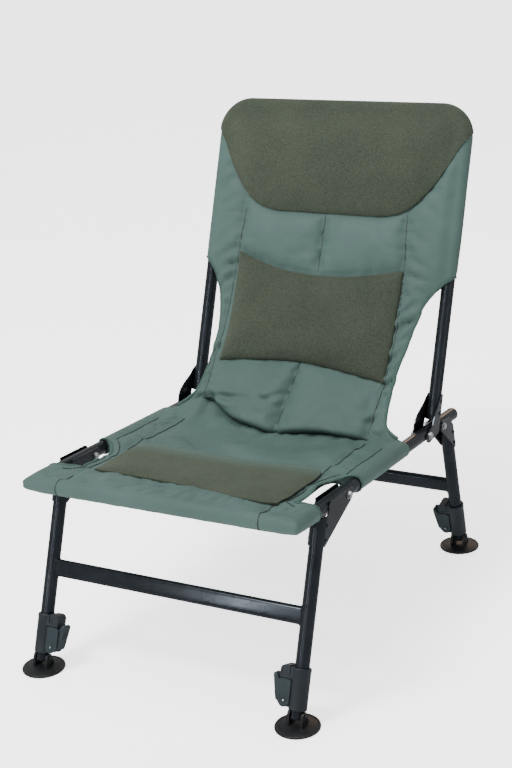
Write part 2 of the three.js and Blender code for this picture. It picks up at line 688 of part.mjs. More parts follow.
function backStations(legEnd) {
  const stations = uStations(HALF_WIDTH, BACK_CORNER_R, BACK_LENGTH - legEnd, backDown);
  for (const station of stations) station.at.z += BACK_LENGTH;
  return stations;
}

function makeBackFrame() {
  const stations = backStations(back.skin(TUBE_R));
  piece("back_tube", sweptTube(stations, TUBE_R, TUBE_R - TUBE_WALL, backNormal), POWDER_COAT, back.group);
  const bracket = backBracket();
  for (const [side, sign] of sides) {
    piece("back_bracket_" + side, bracket, POWDER_COAT, back.group).position.x = sign * HALF_WIDTH;
  }
}

// Closed sheet between a face and its back: face(u, v) and rear(u, v) give places for u and v in 0..1
function sheet(face, rear, cols, rows) {
  const points = [];
  const layer = (cols + 1) * (rows + 1);
  for (const surface of [face, rear]) {
    for (let j = 0; j <= rows; j++) {
      for (let i = 0; i <= cols; i++) points.push(...surface(i / cols, j / rows));
    }
  }
  const vertex = (side, i, j) => side * layer + j * (cols + 1) + i;
  const index = [];
  const quad = (a, b, c, d) => index.push(a, b, c, a, c, d);
  for (let j = 0; j < rows; j++) {
    for (let i = 0; i < cols; i++) {
      quad(vertex(0, i, j), vertex(0, i + 1, j), vertex(0, i + 1, j + 1), vertex(0, i, j + 1));
      quad(vertex(1, i, j), vertex(1, i, j + 1), vertex(1, i + 1, j + 1), vertex(1, i + 1, j));
    }
  }
  for (let i = 0; i < cols; i++) {
    quad(vertex(0, i, 0), vertex(1, i, 0), vertex(1, i + 1, 0), vertex(0, i + 1, 0));
    quad(vertex(0, i, rows), vertex(0, i + 1, rows), vertex(1, i + 1, rows), vertex(1, i, rows));
  }
  for (let j = 0; j < rows; j++) {
    quad(vertex(0, 0, j), vertex(0, 0, j + 1), vertex(1, 0, j + 1), vertex(1, 0, j));
    quad(vertex(0, cols, j), vertex(1, cols, j), vertex(1, cols, j + 1), vertex(0, cols, j + 1));
  }
  const geometry = new THREE.BufferGeometry();
  geometry.setAttribute("position", new THREE.BufferAttribute(new Float32Array(points), 3));
  geometry.setIndex(index);
  return solid(geometry);
}

// Where the back's crease meets the seat, counted along the rail
function creaseAlong() {
  const skew = rad(RECLINE_DEG - SEAT_SLOPE_DEG);
  return BACK_AT - CREASE_PROUD * Math.cos(skew) + CREASE_HEIGHT * Math.sin(skew) - PANEL_GAP;
}

// Columns of a sheet stand closer together towards the rails
const acrossSheet = (u) => HALF_WIDTH * Math.sin((u - 0.5) * Math.PI);

// Seat fabric: it lies on the rails' tops and sags between them
const seatTop = TUBE_R + FIT + CLOTH;
function seatHeight(x, along) {
  const across = 1 - Math.min(1, Math.abs(x) / HALF_WIDTH) ** 2;
  const inFromFront = Math.min(1, Math.max(0, along) / SEAT_SAG_RUN);
  const dip = Math.sin((inFromFront * Math.PI) / 2);
  return seatTop - SEAT_SAG * across * dip;
}

// Outline that rounds the two outer corners of a stretched cloth, from beyond its rolled edge
function cornerOutline(edge, corner, length) {
  const half = HALF_WIDTH + edge;
  return [
    [half, length],
    [-half, length],
    ...arc([corner - half, corner - edge], corner, 180, 270, BEND_STEPS),
    ...arc([half - corner, corner - edge], corner, 270, 360, BEND_STEPS),
  ];
}

function makeSeatCover() {
  const waistAt = HALF_WIDTH - SEAT_WAIST_INSET;
  const clothEnd = creaseAlong();
  const place = (u, v, lift) => {
    const x = acrossSheet(u);
    const waist = Math.max(0, (Math.abs(x) - waistAt) / SEAT_WAIST_INSET);
    const end = lerp(clothEnd, SEAT_SLEEVE_END, waist);
    const along = lerp(0, end, v);
    return [x, along, seatHeight(x, along) + lift];
  };
  let body = sheet(
    (u, v) => place(u, v, 0),
    (u, v) => place(u, v, -CLOTH),
    SHEET_COLS,
    SHEET_ROWS,
  );
  const sleeveR = TUBE_R + FIT + CLOTH;
  const stations = uStations(HALF_WIDTH, SEAT_CORNER_R, SEAT_SLEEVE_END, railAlong);
  body = body.add(sweptTube(stations, sleeveR, 0, seatNormal, SLEEVE_SIDES));
  const rails = uStations(HALF_WIDTH, SEAT_CORNER_R, RAIL_LENGTH, railAlong);
  body = body.subtract(sweptTube(rails, TUBE_R + FIT, 0, seatNormal, SLEEVE_SIDES));
  const trim = cornerOutline(sleeveR, SEAT_CLOTH_CORNER_R, RAIL_LENGTH);
  body = body.intersect(plateXY(trim, -2 * sleeveR, 2 * sleeveR));
  // Bound cut-outs leave the front brackets bare
  for (const [, sign] of sides) {
    const inner = HALF_WIDTH - CUTOUT_DEPTH;
    const outer = HALF_WIDTH + 2 * sleeveR;
    const outline = [
      [outer, CUTOUT_START],
      [HALF_WIDTH, CUTOUT_START],
      ...arc([inner + CUTOUT_CORNER, CUTOUT_START + CUTOUT_CORNER], CUTOUT_CORNER, 270, 180, 3),
      [inner, lerp(CUTOUT_START, CUTOUT_END, 0.5)],
      ...arc([inner + CUTOUT_CORNER, CUTOUT_END - CUTOUT_CORNER], CUTOUT_CORNER, 180, 90, 3),
      [outer, CUTOUT_END],
    ].map(([x, y]) => [sign * x, y]);
    const cutter = plateXY(sign > 0 ? outline.reverse() : outline, -2 * sleeveR, 2 * sleeveR);
    body = body.subtract(cutter);
  }
  piece("seat_cover", body, CANVAS, seat);
}

// Crowned pad: flat edge welts and a crown that rises from drawn-in sides; "map" places (a, b, lift)
function pad(map, crown, edgeShape) {
  const place = (u, v, top) => {
    const [a, b] = edgeShape(u, v);
    const rise = Math.max(0, (1 - (2 * u - 1) ** 4) * (1 - (2 * v - 1) ** 4));
    const lift = top ? PAD_GAP + PAD_EDGE + crown * Math.sqrt(rise) : PAD_GAP;
    return map(a, b, lift);
  };
  return sheet(
    (u, v) => place(u, v, true),
    (u, v) => place(u, v, false),
    PAD_COLS,
    PAD_ROWS,
  );
}

function makeSeatPad() {
  const map = (x, along, lift) => [x, along, seatHeight(x, along) + lift];
  const edge = (u, v) => {
    const half = HALF_WIDTH - SEAT_PAD_INSET;
    const bow = SEAT_PAD_BOW * (1 - (2 * u - 1) ** 2);
    const front = SEAT_PAD_FRONT + bow;
    const rear = SEAT_PAD_REAR - bow;
    return [lerp(-half, half, u), lerp(front, rear, v)];
  };
  piece("seat_pad", pad(map, SEAT_PAD_CROWN, edge), FLEECE, seat);
}

// Smooth curve through a table of [place, value] rows
function smoothTable(rows, at) {
  let k = 0;
  while (k < rows.length - 2 && at > rows[k + 1][0]) k++;
  const slope = (i) => {
    const [a0, b0] = rows[Math.max(0, i - 1)];
    const [a1, b1] = rows[Math.min(rows.length - 1, i + 1)];
    return (b1 - b0) / (a1 - a0);
  };
  const [a0, b0] = rows[k];
  const [a1, b1] = rows[k + 1];
  const t = (at - a0) / (a1 - a0);
  const rise = (a1 - a0) * ((1 - t) ** 2 * t * slope(k) - t ** 2 * (1 - t) * slope(k + 1));
  return b0 + (b1 - b0) * t ** 2 * (3 - 2 * t) + rise;
}

// Proud of the back's plane, at a height up the frame and a place across it
function backProud(x, height) {
  const profile = [
    [CREASE_HEIGHT, CREASE_PROUD],
    [LUMBAR_LOW_HEIGHT, LUMBAR_LOW_PROUD],
    [BACK_CLOTH_START, WAIST_PROUD],
    [MID_BACK_HEIGHT, MID_BACK_PROUD],
    [BACK_LENGTH, seatTop],
  ];
  const middle = smoothTable(profile, height);
  const across = 1 - Math.min(1, Math.abs(x) / HALF_WIDTH) ** 2;
  const run = BACK_SLEEVE_START - LUMBAR_LOW_HEIGHT;
  const pull = THREE.MathUtils.clamp((BACK_SLEEVE_START - height) / run, 0, 1);
  const edge = lerp(seatTop, middle, pull);
  return lerp(edge, middle, across);
}

const backPlace = (x, height, lift) => [x, -backProud(x, height) - lift, height];

function makeBackCover() {
  const place = (u, v, lift) => {
    const x = acrossSheet(u);
    return backPlace(x, lerp(BACK_CLOTH_START, BACK_LENGTH, v), lift);
  };
  let body = sheet(
    (u, v) => place(u, v, 0),
    (u, v) => place(u, v, -CLOTH),
    SHEET_COLS,
    SHEET_ROWS,
  );
  const sleeveR = TUBE_R + FIT + CLOTH;
  body = body.add(sweptTube(backStations(BACK_SLEEVE_START), sleeveR, 0, backNormal, SLEEVE_SIDES));
  body = body.subtract(sweptTube(backStations(0), TUBE_R + FIT, 0, backNormal, SLEEVE_SIDES));
  const trim = cornerOutline(sleeveR, BACK_CLOTH_CORNER_R, BACK_LENGTH);
  const upright = trim.map(([x, along]) => [x, BACK_LENGTH - along]);
  body = body.intersect(plateXZ(upright.reverse(), -2 * BACK_EAR_BULGE, 2 * sleeveR));
  piece("back_cover", body, CANVAS, back.group);
}

// Quilted panel that carries the fabric down from the back to the seat's rear crease
function makeLowerPanel() {
  const halfAt = (height) => {
    const top = BACK_CLOTH_START;
    if (height > PANEL_WAIST_HEIGHT) {
      const share = (height - PANEL_WAIST_HEIGHT) / (top - PANEL_WAIST_HEIGHT);
      return HALF_WIDTH - lerp(PANEL_WAIST_INSET, PANEL_TOP_INSET, share ** 2);
    }
    const share = (PANEL_WAIST_HEIGHT - height) / (PANEL_WAIST_HEIGHT - CREASE_HEIGHT);
    return HALF_WIDTH - lerp(PANEL_WAIST_INSET, PANEL_FOOT_INSET, share);
  };
  const place = (u, v, lift) => {
    const height = lerp(CREASE_HEIGHT, BACK_CLOTH_START - PANEL_GAP, v);
    const half = halfAt(height);
    const x = lerp(-half, half, u);
    return backPlace(x, height, lift);
  };
  // Sewn channels run up the panel, one in the middle and one beside each edge
  const groove = (u) => {
    const nearest = Math.min(...PANEL_CHANNEL_SHARES.map((share) => Math.abs(u - share)));
    return PANEL_CHANNEL * Math.max(0, 1 - nearest * SHEET_COLS);
  };
  const body = sheet(
    (u, v) => place(u, v, -groove(u)),
    (u, v) => place(u, v, -PANEL_QUILT),
    SHEET_COLS,
    SHEET_ROWS,
  );
  piece("lower_back_panel", body, CANVAS, back.group);
}

function makeBackPads() {
  const lumbarEdge = (u, v) => {
    const bow = LUMBAR_DRAWN_IN * (1 - (2 * u - 1) ** 2);
    const waist = HALF_WIDTH - LUMBAR_INSET - LUMBAR_DRAWN_IN * (1 - (2 * v - 1) ** 2);
    return [lerp(-waist, waist, u), lerp(LUMBAR_LOW + bow, LUMBAR_HIGH - bow, v)];
  };
  piece("lumbar_pad", pad(backPlace, LUMBAR_CROWN, lumbarEdge), FLEECE, back.group);
  const headEdge = (u, v) => {
    const height = lerp(HEAD_LOW, HEAD_HIGH, v);
    const share = THREE.MathUtils.clamp((height - HEAD_LOW) / (HEAD_SHOULDER - HEAD_LOW), 0, 1);
    const inset = lerp(HEAD_LOW_INSET, HEAD_INSET, Math.sin((share * Math.PI) / 2));
    const half = HALF_WIDTH - inset;
    const rise = Math.max(0, height - HEAD_HIGH + HEAD_CORNER_R);
    const corner = HEAD_CORNER_R - Math.sqrt(HEAD_CORNER_R ** 2 - rise ** 2);
    return [lerp(corner - half, half - corner, u), height];
  };
  piece("head_pad", pad(backPlace, HEAD_CROWN, headEdge), FLEECE, back.group);
}

makeSeatFrame();
for (const [side, sign] of sides) {
  makePivot("front_pivot", FRONT_PIVOT_AT, sign, side);
  makePivot("back_pivot", BACK_PIVOT_AT, sign, side);
  makePivot("rear_pivot", REAR_PIVOT_AT, sign, side);
}
makeLegs("front", frontLeg, FRONT_LEG_LEAN_DEG, FRONT_PIVOT_AT, -1, EAR_R, FRONT_CROSSBAR_HEIGHT);
makeLegs("rear", rearLeg, -REAR_LEG_LEAN_DEG, REAR_PIVOT_AT, 1, REAR_EAR_R, REAR_CROSSBAR_HEIGHT);
makeBackFrame();
makeSeatCover();
makeSeatPad();
makeBackCover();
makeLowerPanel();
makeBackPads();

// The origin goes under the middle of the whole chair
const bounds = new THREE.Box3().setFromObject(chair, true);
const middle = bounds.getCenter(new THREE.Vector3());
chair.position.set(-middle.x, -middle.y, -bounds.min.z);
chair.updateMatrixWorld(true);

export default chair;
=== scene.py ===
from math import asin, atan2, cos, degrees, hypot, pi, radians, sin, sqrt, tan

import bmesh
import bpy
import numpy as np
from mathutils import Matrix, Vector
from mathutils.bvhtree import BVHTree


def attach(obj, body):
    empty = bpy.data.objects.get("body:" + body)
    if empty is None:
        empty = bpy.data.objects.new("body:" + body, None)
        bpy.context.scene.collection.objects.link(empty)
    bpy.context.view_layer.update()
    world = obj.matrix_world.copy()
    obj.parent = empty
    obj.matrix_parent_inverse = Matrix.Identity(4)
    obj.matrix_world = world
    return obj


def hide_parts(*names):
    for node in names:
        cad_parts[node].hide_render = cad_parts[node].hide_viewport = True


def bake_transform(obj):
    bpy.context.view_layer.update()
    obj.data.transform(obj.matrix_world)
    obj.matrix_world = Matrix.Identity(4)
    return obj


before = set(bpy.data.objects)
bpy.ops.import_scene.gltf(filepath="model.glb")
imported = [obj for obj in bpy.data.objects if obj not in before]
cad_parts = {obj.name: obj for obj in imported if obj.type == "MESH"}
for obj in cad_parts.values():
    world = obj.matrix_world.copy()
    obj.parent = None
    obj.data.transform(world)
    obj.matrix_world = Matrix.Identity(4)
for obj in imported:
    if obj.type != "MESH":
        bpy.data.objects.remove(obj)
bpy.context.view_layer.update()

# ---------------------------------------------------------------- sizes, in millimetres and degrees
MM = 0.001
TUBE_R = 11.0
FIT = 0.3  # clearance between a tube and what is fitted on it
HALF = 230.0  # from the middle of the chair to a rail's axis
SEAT_HEIGHT = 314.0
SLOPE_DEG = 4.6
RECLINE_DEG = 21.6
FRONT_LEAN_DEG = 21.5
REAR_LEAN_DEG = -12.0
FRONT_LEG_AT = 85.0  # each AT is a place along the rails, from the front tube's axis
FRONT_PIVOT_AT = 154.0
BACK_PIVOT_AT = 471.0
BACK_AT = 510.0
REAR_PIVOT_AT = 531.0
REAR_LEG_AT = 571.0
RAIL_LENGTH = 602.0
BACK_LENGTH = 538.0
SEAT_CORNER_R = 28.0
BACK_CORNER_R = 46.0
SLEEVE_R = 13.3  # outside of the fabric on a tube
PLATE = 2.0  # bracket steel
ORIGIN_Y = -328.244
BRACKET_HALF = TUBE_R + FIT + PLATE
BRACKET_BORE = TUBE_R + FIT
BOLT_HOLE_R = 3.3
SIDES = (("left", 1), ("right", -1))


def place(y, z, lean_deg):
    """A member's own frame: X across, Y rearwards, Z along it."""
    return Matrix.Translation((0, y * MM, z * MM)) @ Matrix.Rotation(-radians(lean_deg), 4, "X")


def rail_place(along, above=0.0):
    a = radians(SLOPE_DEG)
    return (
        ORIGIN_Y + along * cos(a) + above * sin(a),
        SEAT_HEIGHT - along * sin(a) + above * cos(a),
    )


def leg_place(along, lean_deg):
    """A leg's frame, with its origin on the floor, and the length up to the rail's axis."""
    y, z = rail_place(along)
    lean = radians(lean_deg)
    reach = z / cos(lean)
    return place(y - reach * sin(lean), 0, lean_deg), reach


SEAT = place(*rail_place(0), SLOPE_DEG)
BACK = place(*rail_place(BACK_AT), RECLINE_DEG)
FRONT, FRONT_REACH = leg_place(FRONT_LEG_AT, FRONT_LEAN_DEG)
REAR, REAR_REACH = leg_place(REAR_LEG_AT, REAR_LEAN_DEG)
BACK_SKEW = radians(RECLINE_DEG - SLOPE_DEG)


def to_local(m, along, above=0.0):
    """A place along and above the rail, as (y, z) in millimetres in a member's frame."""
    y, z = rail_place(along, above)
    p = m.inverted() @ Vector((0, y * MM, z * MM))
    return p.y / MM, p.z / MM


# ---------------------------------------------------------------- materials
def srgb(r, g, b):
    def one(v):
        v /= 255
        return v / 12.92 if v < 0.04045 else ((v + 0.055) / 1.055) ** 2.4

    return (one(r), one(g), one(b), 1.0)


class Shader:
    """A Principled material under construction. Noise scales are per metre."""

    def __init__(self, name, color, rough, metal=0.0, **sockets):
        self.mat = bpy.data.materials.new(name)
        self.mat.use_nodes = True
        self.tree = self.mat.node_tree
        self.bsdf = self.tree.nodes["Principled BSDF"]
        self.set("Base Color", color)
        self.set("Roughness", rough)
        self.set("Metallic", metal)
        for key, value in sockets.items():
            self.set(key.replace("_", " "), value)
        self.normal = None

    def set(self, socket, value):
        self.bsdf.inputs[socket].default_value = value

    def node(self, kind, **values):
        n = self.tree.nodes.new(kind)
        for key, value in values.items():
            if key in n.inputs:
                n.inputs[key].default_value = value
            else:
                setattr(n, key, value)
        return n

    def link(self, a, b):
        self.tree.links.new(a, b)

    def coords(self, kind="Object"):
        c = self.node("ShaderNodeTexCoord")
        m = self.node("ShaderNodeMapping")
        self.link(c.outputs[kind], m.inputs["Vector"])
        return m.outputs["Vector"]

    def noise(self, scale, detail=3, rough=0.5):
        n = self.node("ShaderNodeTexNoise", Scale=scale, Detail=detail, Roughness=rough)
        self.link(self.coords(), n.inputs["Vector"])
        return n.outputs["Fac"]

    def ramp(self, fac, low, high, a=0, b=1):
        """Takes low to a and high to b."""
        r = self.node("ShaderNodeMapRange")
        for key, value in (("From Min", low), ("From Max", high), ("To Min", a), ("To Max", b)):
            r.inputs[key].default_value = value
        self.link(fac, r.inputs["Value"])
        return r.outputs["Result"]

    def mix(self, fac, a, b):
        """Blends two colours, each a value or an output, and makes the result the base colour."""
        m = self.node("ShaderNodeMix", data_type="RGBA")
        for socket, value in ((m.inputs[6], a), (m.inputs[7], b)):
            if isinstance(value, tuple):
                socket.default_value = value
            else:
                self.link(value, socket)
        self.link(fac, m.inputs[0])
        self.link(m.outputs[2], self.bsdf.inputs["Base Color"])
        return m.outputs[2]

    def rough(self, fac, a, b):
        self.link(self.ramp(fac, 0.3, 0.7, a, b), self.bsdf.inputs["Roughness"])

    def bump(self, height, strength, distance):
        """Adds relief, distance in metres, to what is there already."""
        b = self.node("ShaderNodeBump", Strength=strength, Distance=distance)
        self.link(height, b.inputs["Height"])
        if self.normal is not None:
            self.link(self.normal, b.inputs["Normal"])
        self.normal = b.outputs["Normal"]
        self.link(self.normal, self.bsdf.inputs["Normal"])

    def math(self, op, a, b):
        n = self.node("ShaderNodeMath", operation=op)
        for socket, value in zip(n.inputs, (a, b)):
            if isinstance(value, (int, float)):
                socket.default_value = value
            else:
                self.link(value, socket)
        return n.outputs[0]

    def weave(self, pitch, strength, distance):
        """Plain weave: threads over and under in both directions, in the cloth's own plane."""
        vec = self.coords("UV")
        waves = []
        for way in "XY":
            wave = self.node("ShaderNodeTexWave", wave_profile="SIN", bands_direction=way,
                             Scale=0.16 / pitch, Distortion=0.0)
            self.link(vec, wave.inputs["Vector"])
            waves.append(wave.outputs["Fac"])
        self.bump(self.math("MULTIPLY", *waves), strength, distance)

    def finish(self, cloud, colours, gloss, grain):
        """Soft clouds of two colours, an uneven gloss and a fine grain."""
        scale, detail, low, high = cloud
        self.mix(self.ramp(self.noise(scale, detail), low, high), *colours)
        scale, low, high = gloss
        self.rough(self.noise(scale), low, high)
        scale, strength, distance = grain
        self.bump(self.noise(scale, 2), strength, distance)
        return self.mat


def canvas_material(name, light, dark, rough):
    s = Shader(name, light, rough, Sheen_Weight=0.02, Sheen_Roughness=0.4,
               Sheen_Tint=srgb(150, 180, 172), Specular_IOR_Level=0.13)
    s.mix(s.ramp(s.noise(9.0, 4), 0.3, 0.7), light, dark)
    s.rough(s.noise(60.0), rough - 0.05, rough + 0.06)
    s.weave(0.9, 0.25, 0.0003)
    s.bump(s.noise(42.0, 4, 0.55), 0.16, 0.0016)
    return s.mat


def fleece_material(name, fade=None):
    """Fleece; with fade, a pair of places in metres, it thins out there into the canvas."""
    s = Shader(name, srgb(50, 56, 46), 0.95, Sheen_Weight=0.15, Sheen_Roughness=0.6,
               Sheen_Tint=srgb(130, 140, 120), Specular_IOR_Level=0.15)
    speck = s.noise(430.0, 3, 0.8)
    cloud = s.noise(14.0, 4, 0.6)
    both = s.math("ADD", s.math("MULTIPLY", speck, 0.8), s.math("MULTIPLY", cloud, 0.2))
    pile = s.mix(s.ramp(both, 0.4, 0.6), srgb(39, 44, 37), srgb(55, 61, 51))
    if fade:
        split = s.node("ShaderNodeSeparateXYZ")
        s.link(s.coords(), split.inputs[0])
        wander = s.math("MULTIPLY", s.noise(300.0), 0.012)
        ragged = s.math("ADD", split.outputs["Y"], wander)
        s.mix(s.ramp(ragged, *fade, 0, 0.92), pile, srgb(57, 74, 69))
    s.bump(s.noise(700.0, 3, 0.7), 0.55, 0.0009)
    s.bump(s.noise(120.0, 3, 0.6), 0.2, 0.0014)
    return s.mat


def steel_material():
    s = Shader("powder_coat", srgb(20, 22, 25), 0.3, Specular_IOR_Level=0.3,
               Specular_Tint=srgb(215, 230, 245))
    colours = srgb(16, 18, 20), srgb(23, 25, 29)
    return s.finish((25.0, 4, 0.35, 0.65), colours, (60.0, 0.13, 0.19), (300.0, 0.04, 0.0002))


def plastic_material(name, light, dark, rough):
    s = Shader(name, light, rough, Specular_IOR_Level=0.28)
    gloss = (120.0, rough - 0.05, rough + 0.07)
    return s.finish((30.0, 3, 0.35, 0.65), (light, dark), gloss, (1500.0, 0.14, 0.00025))


def zinc_material():
    s = Shader("zinc", srgb(200, 202, 204), 0.3, 1.0)
    colours = srgb(176, 178, 181), srgb(214, 216, 218)
    return s.finish((160.0, 3, 0, 1), colours, (240.0, 0.22, 0.4), (900.0, 0.08, 0.0002))


# Each look is a material and the name of its slot
CLOTH = canvas_material("canvas", srgb(62, 80, 76), srgb(57, 74, 70), 0.6), "canvas"
BINDING = canvas_material("binding", srgb(52, 73, 67), srgb(44, 63, 57), 0.55), "canvas"
THREAD = Shader("thread", srgb(22, 31, 29), 0.7).mat, "canvas"
FLEECE = fleece_material("fleece"), "fleece"
FLEECE_FADED = fleece_material("fleece_faded", fade=(-0.152, -0.1)), "fleece"
STEEL = steel_material(), "powder_coat"
PLASTIC = plastic_material("slate_plastic", srgb(25, 31, 36), srgb(20, 25, 30), 0.42), "plastic"
LEVER_PLASTIC = (
    plastic_material("lever_plastic", srgb(28, 39, 43), srgb(23, 33, 37), 0.46), "plastic"
)
FOOT_PLASTIC = plastic_material("foot_plastic", srgb(19, 21, 23), srgb(15, 17, 18), 0.4), "plastic"
ZINC = zinc_material(), "zinc"


# ---------------------------------------------------------------- mesh tools
def add_object(name, data):
    ob = bpy.data.objects.new(name, data)
    bpy.context.scene.collection.objects.link(ob)
    return ob


def grid_faces(cols, rows):
    """Quads of a grid of cols x rows points, row by row."""
    return [
        (a, a + 1, a + cols + 1, a + cols)
        for j in range(rows - 1)
        for a in range(j * cols, (j + 1) * cols - 1)
    ]


def mesh_of(name, matrix, points, faces, uv=None, weld=0.0):
    """A mesh from points in millimetres in a member's frame; those closer than weld are joined."""
    pts = np.asarray(points, float) * MM
    m = np.array(matrix)
    world = pts @ m[:3, :3].T + m[:3, 3]
    me = bpy.data.meshes.new(name)
    me.from_pydata(world.tolist(), [], faces)
    if uv is not None:
        layer = me.uv_layers.new(name="cloth")
        index = np.empty(len(me.loops), int)
        me.loops.foreach_get("vertex_index", index)
        layer.data.foreach_set("uv", np.asarray(uv, float)[index].ravel())
    bm = bmesh.new()
    bm.from_mesh(me)
    if weld:
        bmesh.ops.remove_doubles(bm, verts=bm.verts, dist=weld * MM)
        bmesh.ops.dissolve_degenerate(bm, edges=bm.edges, dist=weld * MM * 0.5)
    bmesh.ops.recalc_face_normals(bm, faces=bm.faces)
    bm.to_mesh(me)
    bm.free()
    return me


def show(name, matrix, form, body, look, nodes=(), uv=None, weld=0.0, sharp=35, bevel=0.0):
    """A visible piece: where it sits, its body, its look, and the CAD nodes that it replaces."""
    me = mesh_of(name, matrix, *form, uv=uv, weld=weld)
    mat, slot = look
    me.materials.append(mat)
    me.polygons.foreach_set("use_smooth", [True] * len(me.polygons))
    me.set_sharp_from_angle(angle=radians(sharp))
    ob = add_object(name, me)
    if bevel:
        b = ob.modifiers.new("edge", "BEVEL")
        b.width, b.segments, b.limit_method = bevel * MM, 2, "ANGLE"
        b.angle_limit = radians(38)
        b.harden_normals = True
    if body:
        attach(ob, body)
    if nodes:
        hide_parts(*nodes)
    return ob


def merged(*parts):
    points, faces = [], []
    for p, f in parts:
        base = len(points)
        points.extend([tuple(q) for q in p])
        faces.extend([tuple(base + i for i in face) for face in f])
    return points, faces


def lathe(profile, sides, matrix=None):
    """Closed turned form about Z; a profile point at radius 0 becomes a pole."""
    points, rings = [], []
    for r, h in profile:
        if r < 1e-6:
            rings.append([len(points)])
            points.append((0.0, 0.0, h))
        else:
            rings.append(list(range(len(points), len(points) + sides)))
            for i in range(sides):
                a = 2 * pi * (i + 0.5) / sides
                points.append((r * cos(a), r * sin(a), h))
    faces = []
    for a, b in zip(rings, rings[1:]):
        for i in range(sides):
            j = (i + 1) % sides
            if len(a) == 1 and len(b) > 1:
                faces.append((a[0], b[j], b[i]))
            elif len(b) == 1 and len(a) > 1:
                faces.append((a[i], a[j], b[0]))
            elif len(a) > 1:
                faces.append((a[i], a[j], b[j], b[i]))
    if matrix is not None:
        points = [tuple(matrix @ Vector(p)) for p in points]
    return points, faces


def sweep(path, section, ups, closed_ends=True):
    """A section of (side, up) places carried along a path, with one up direction or one each."""
    path = [Vector(p) for p in path]
    n, k = len(path), len(section)
    points = []
    for i, p in enumerate(path):
        t = (path[min(i + 1, n - 1)] - path[max(i - 1, 0)]).normalized()
        side = t.cross(Vector(ups[i] if len(ups) > 1 else ups[0])).normalized()
        up = side.cross(t)
        points.extend([tuple(p + side * a + up * b) for a, b in section])
    faces = [
        (i * k + j, i * k + (j + 1) % k, (i + 1) * k + (j + 1) % k, (i + 1) * k + j)
        for i in range(n - 1)
        for j in range(k)
    ]
    if closed_ends:
        faces.append(tuple(range(k))[::-1])
        faces.append(tuple((n - 1) * k + j for j in range(k)))
    return points, faces


def circle(radius, sides):
    turns = [2 * pi * i / sides for i in range(sides)]
    return [(radius * cos(a), radius * sin(a)) for a in turns]


def arc(center, radius, start, end, steps):
    turns = [radians(start + (end - start) * i / steps) for i in range(steps + 1)]
    return [(center[0] + radius * cos(a), center[1] + radius * sin(a)) for a in turns]


def slotted(at, half_length, radius, steps):
    """An upright outline with straight sides and round ends."""
    upper = arc((0, at + half_length), radius, 0, 180, steps)
    return upper + arc((0, at - half_length), radius, 180, 360, steps)


def prism(outline, low, high, plane):
    """An outline in the YZ, XZ or XY plane, given thickness along the third axis."""
    def at(a, b, c):
        return {"YZ": (c, a, b), "XZ": (a, c, b), "XY": (a, b, c)}[plane]

    n = len(outline)
    points = [at(a, b, low) for a, b in outline] + [at(a, b, high) for a, b in outline]
    faces = [tuple(range(n)), tuple(range(n, 2 * n))]
    faces += [(i, (i + 1) % n, n + (i + 1) % n, n + i) for i in range(n)]
    return points, faces


def cylinder(axis, radius, low, high, at=(0, 0), sides=48):
    ring = [(at[0] + a, at[1] + b) for a, b in circle(radius, sides)]
    return prism(ring, low, high, {"x": "YZ", "y": "XZ", "z": "XY"}[axis])


def box(low, high):
    outline = [(low[0], low[1]), (high[0], low[1]), (high[0], high[1]), (low[0], high[1])]
    return prism(outline, low[2], high[2], "XY")


CUT, JOIN, KEEP = "DIFFERENCE", "UNION", "INTERSECT"


def carve(base, *steps):
    """Cuts with further forms, joins them or keeps what they share, all in one member's frame."""
    def temp(form):
        return add_object("temp", mesh_of("temp", Matrix.Identity(4), *form))

    main = temp(base)
    tools = [temp(form) for _, form in steps]
    for (operation, _), tool in zip(steps, tools):
        m = main.modifiers.new("cut", "BOOLEAN")
        m.operation, m.object, m.solver = operation, tool, "MANIFOLD"
    dg = bpy.context.evaluated_depsgraph_get()
    me = bpy.data.meshes.new_from_object(main.evaluated_get(dg))
    points = [tuple(v.co / MM) for v in me.vertices]
    faces = [tuple(p.vertices) for p in me.polygons]
    for ob in [main, *tools]:
        old = ob.data
        bpy.data.objects.remove(ob)
        bpy.data.meshes.remove(old)
    bpy.data.meshes.remove(me)
    return points, faces


def shifted(matrix, x, flip=False):
    """A member's frame moved across to one side, and turned to face inwards if asked."""
    m = matrix @ Matrix.Translation((x * MM, 0, 0))
    return m @ Matrix.Rotation(pi, 4, "Z") if flip else m


# ---------------------------------------------------------------- frame tubes
def u_path(half, corner, end, along, origin):
    """A U from one open end to the other; along points from the bridge to the open ends."""
    turn = [pi / 2 * (i / 14) for i in range(15)]
    path = [Vector((-half, 0, 0)) + along * end]
    for sign, angles in ((-1, turn), (1, turn[::-1])):
        for a in angles:
            x = sign * (half - corner + corner * cos(a))
            path.append(Vector((x, 0, 0)) + along * (corner - corner * sin(a)))
    path.append(Vector((half, 0, 0)) + along * end)
    return [p + Vector(origin) for p in path]


TUBE = circle(TUBE_R, 40)
seat_path = u_path(HALF, SEAT_CORNER_R, RAIL_LENGTH, Vector((0, 1, 0)), (0, 0, 0))
form = sweep(seat_path, TUBE, [(0, 0, 1)])
show("seat_frame_tube", SEAT, form, "seat_frame", STEEL, ["seat_tube"], bevel=0.6)

upright_foot = BRACKET_BORE / cos(BACK_SKEW) + TUBE_R * tan(BACK_SKEW)  # it stands on the rail
back_path = u_path(HALF, BACK_CORNER_R, BACK_LENGTH - upright_foot, Vector((0, 0, -1)),
                   (0, 0, BACK_LENGTH))
form = sweep(back_path, TUBE, [(0, 1, 0)])
show("back_frame_tube", BACK, form, "backrest", STEEL, ["back_tube"], bevel=0.6)

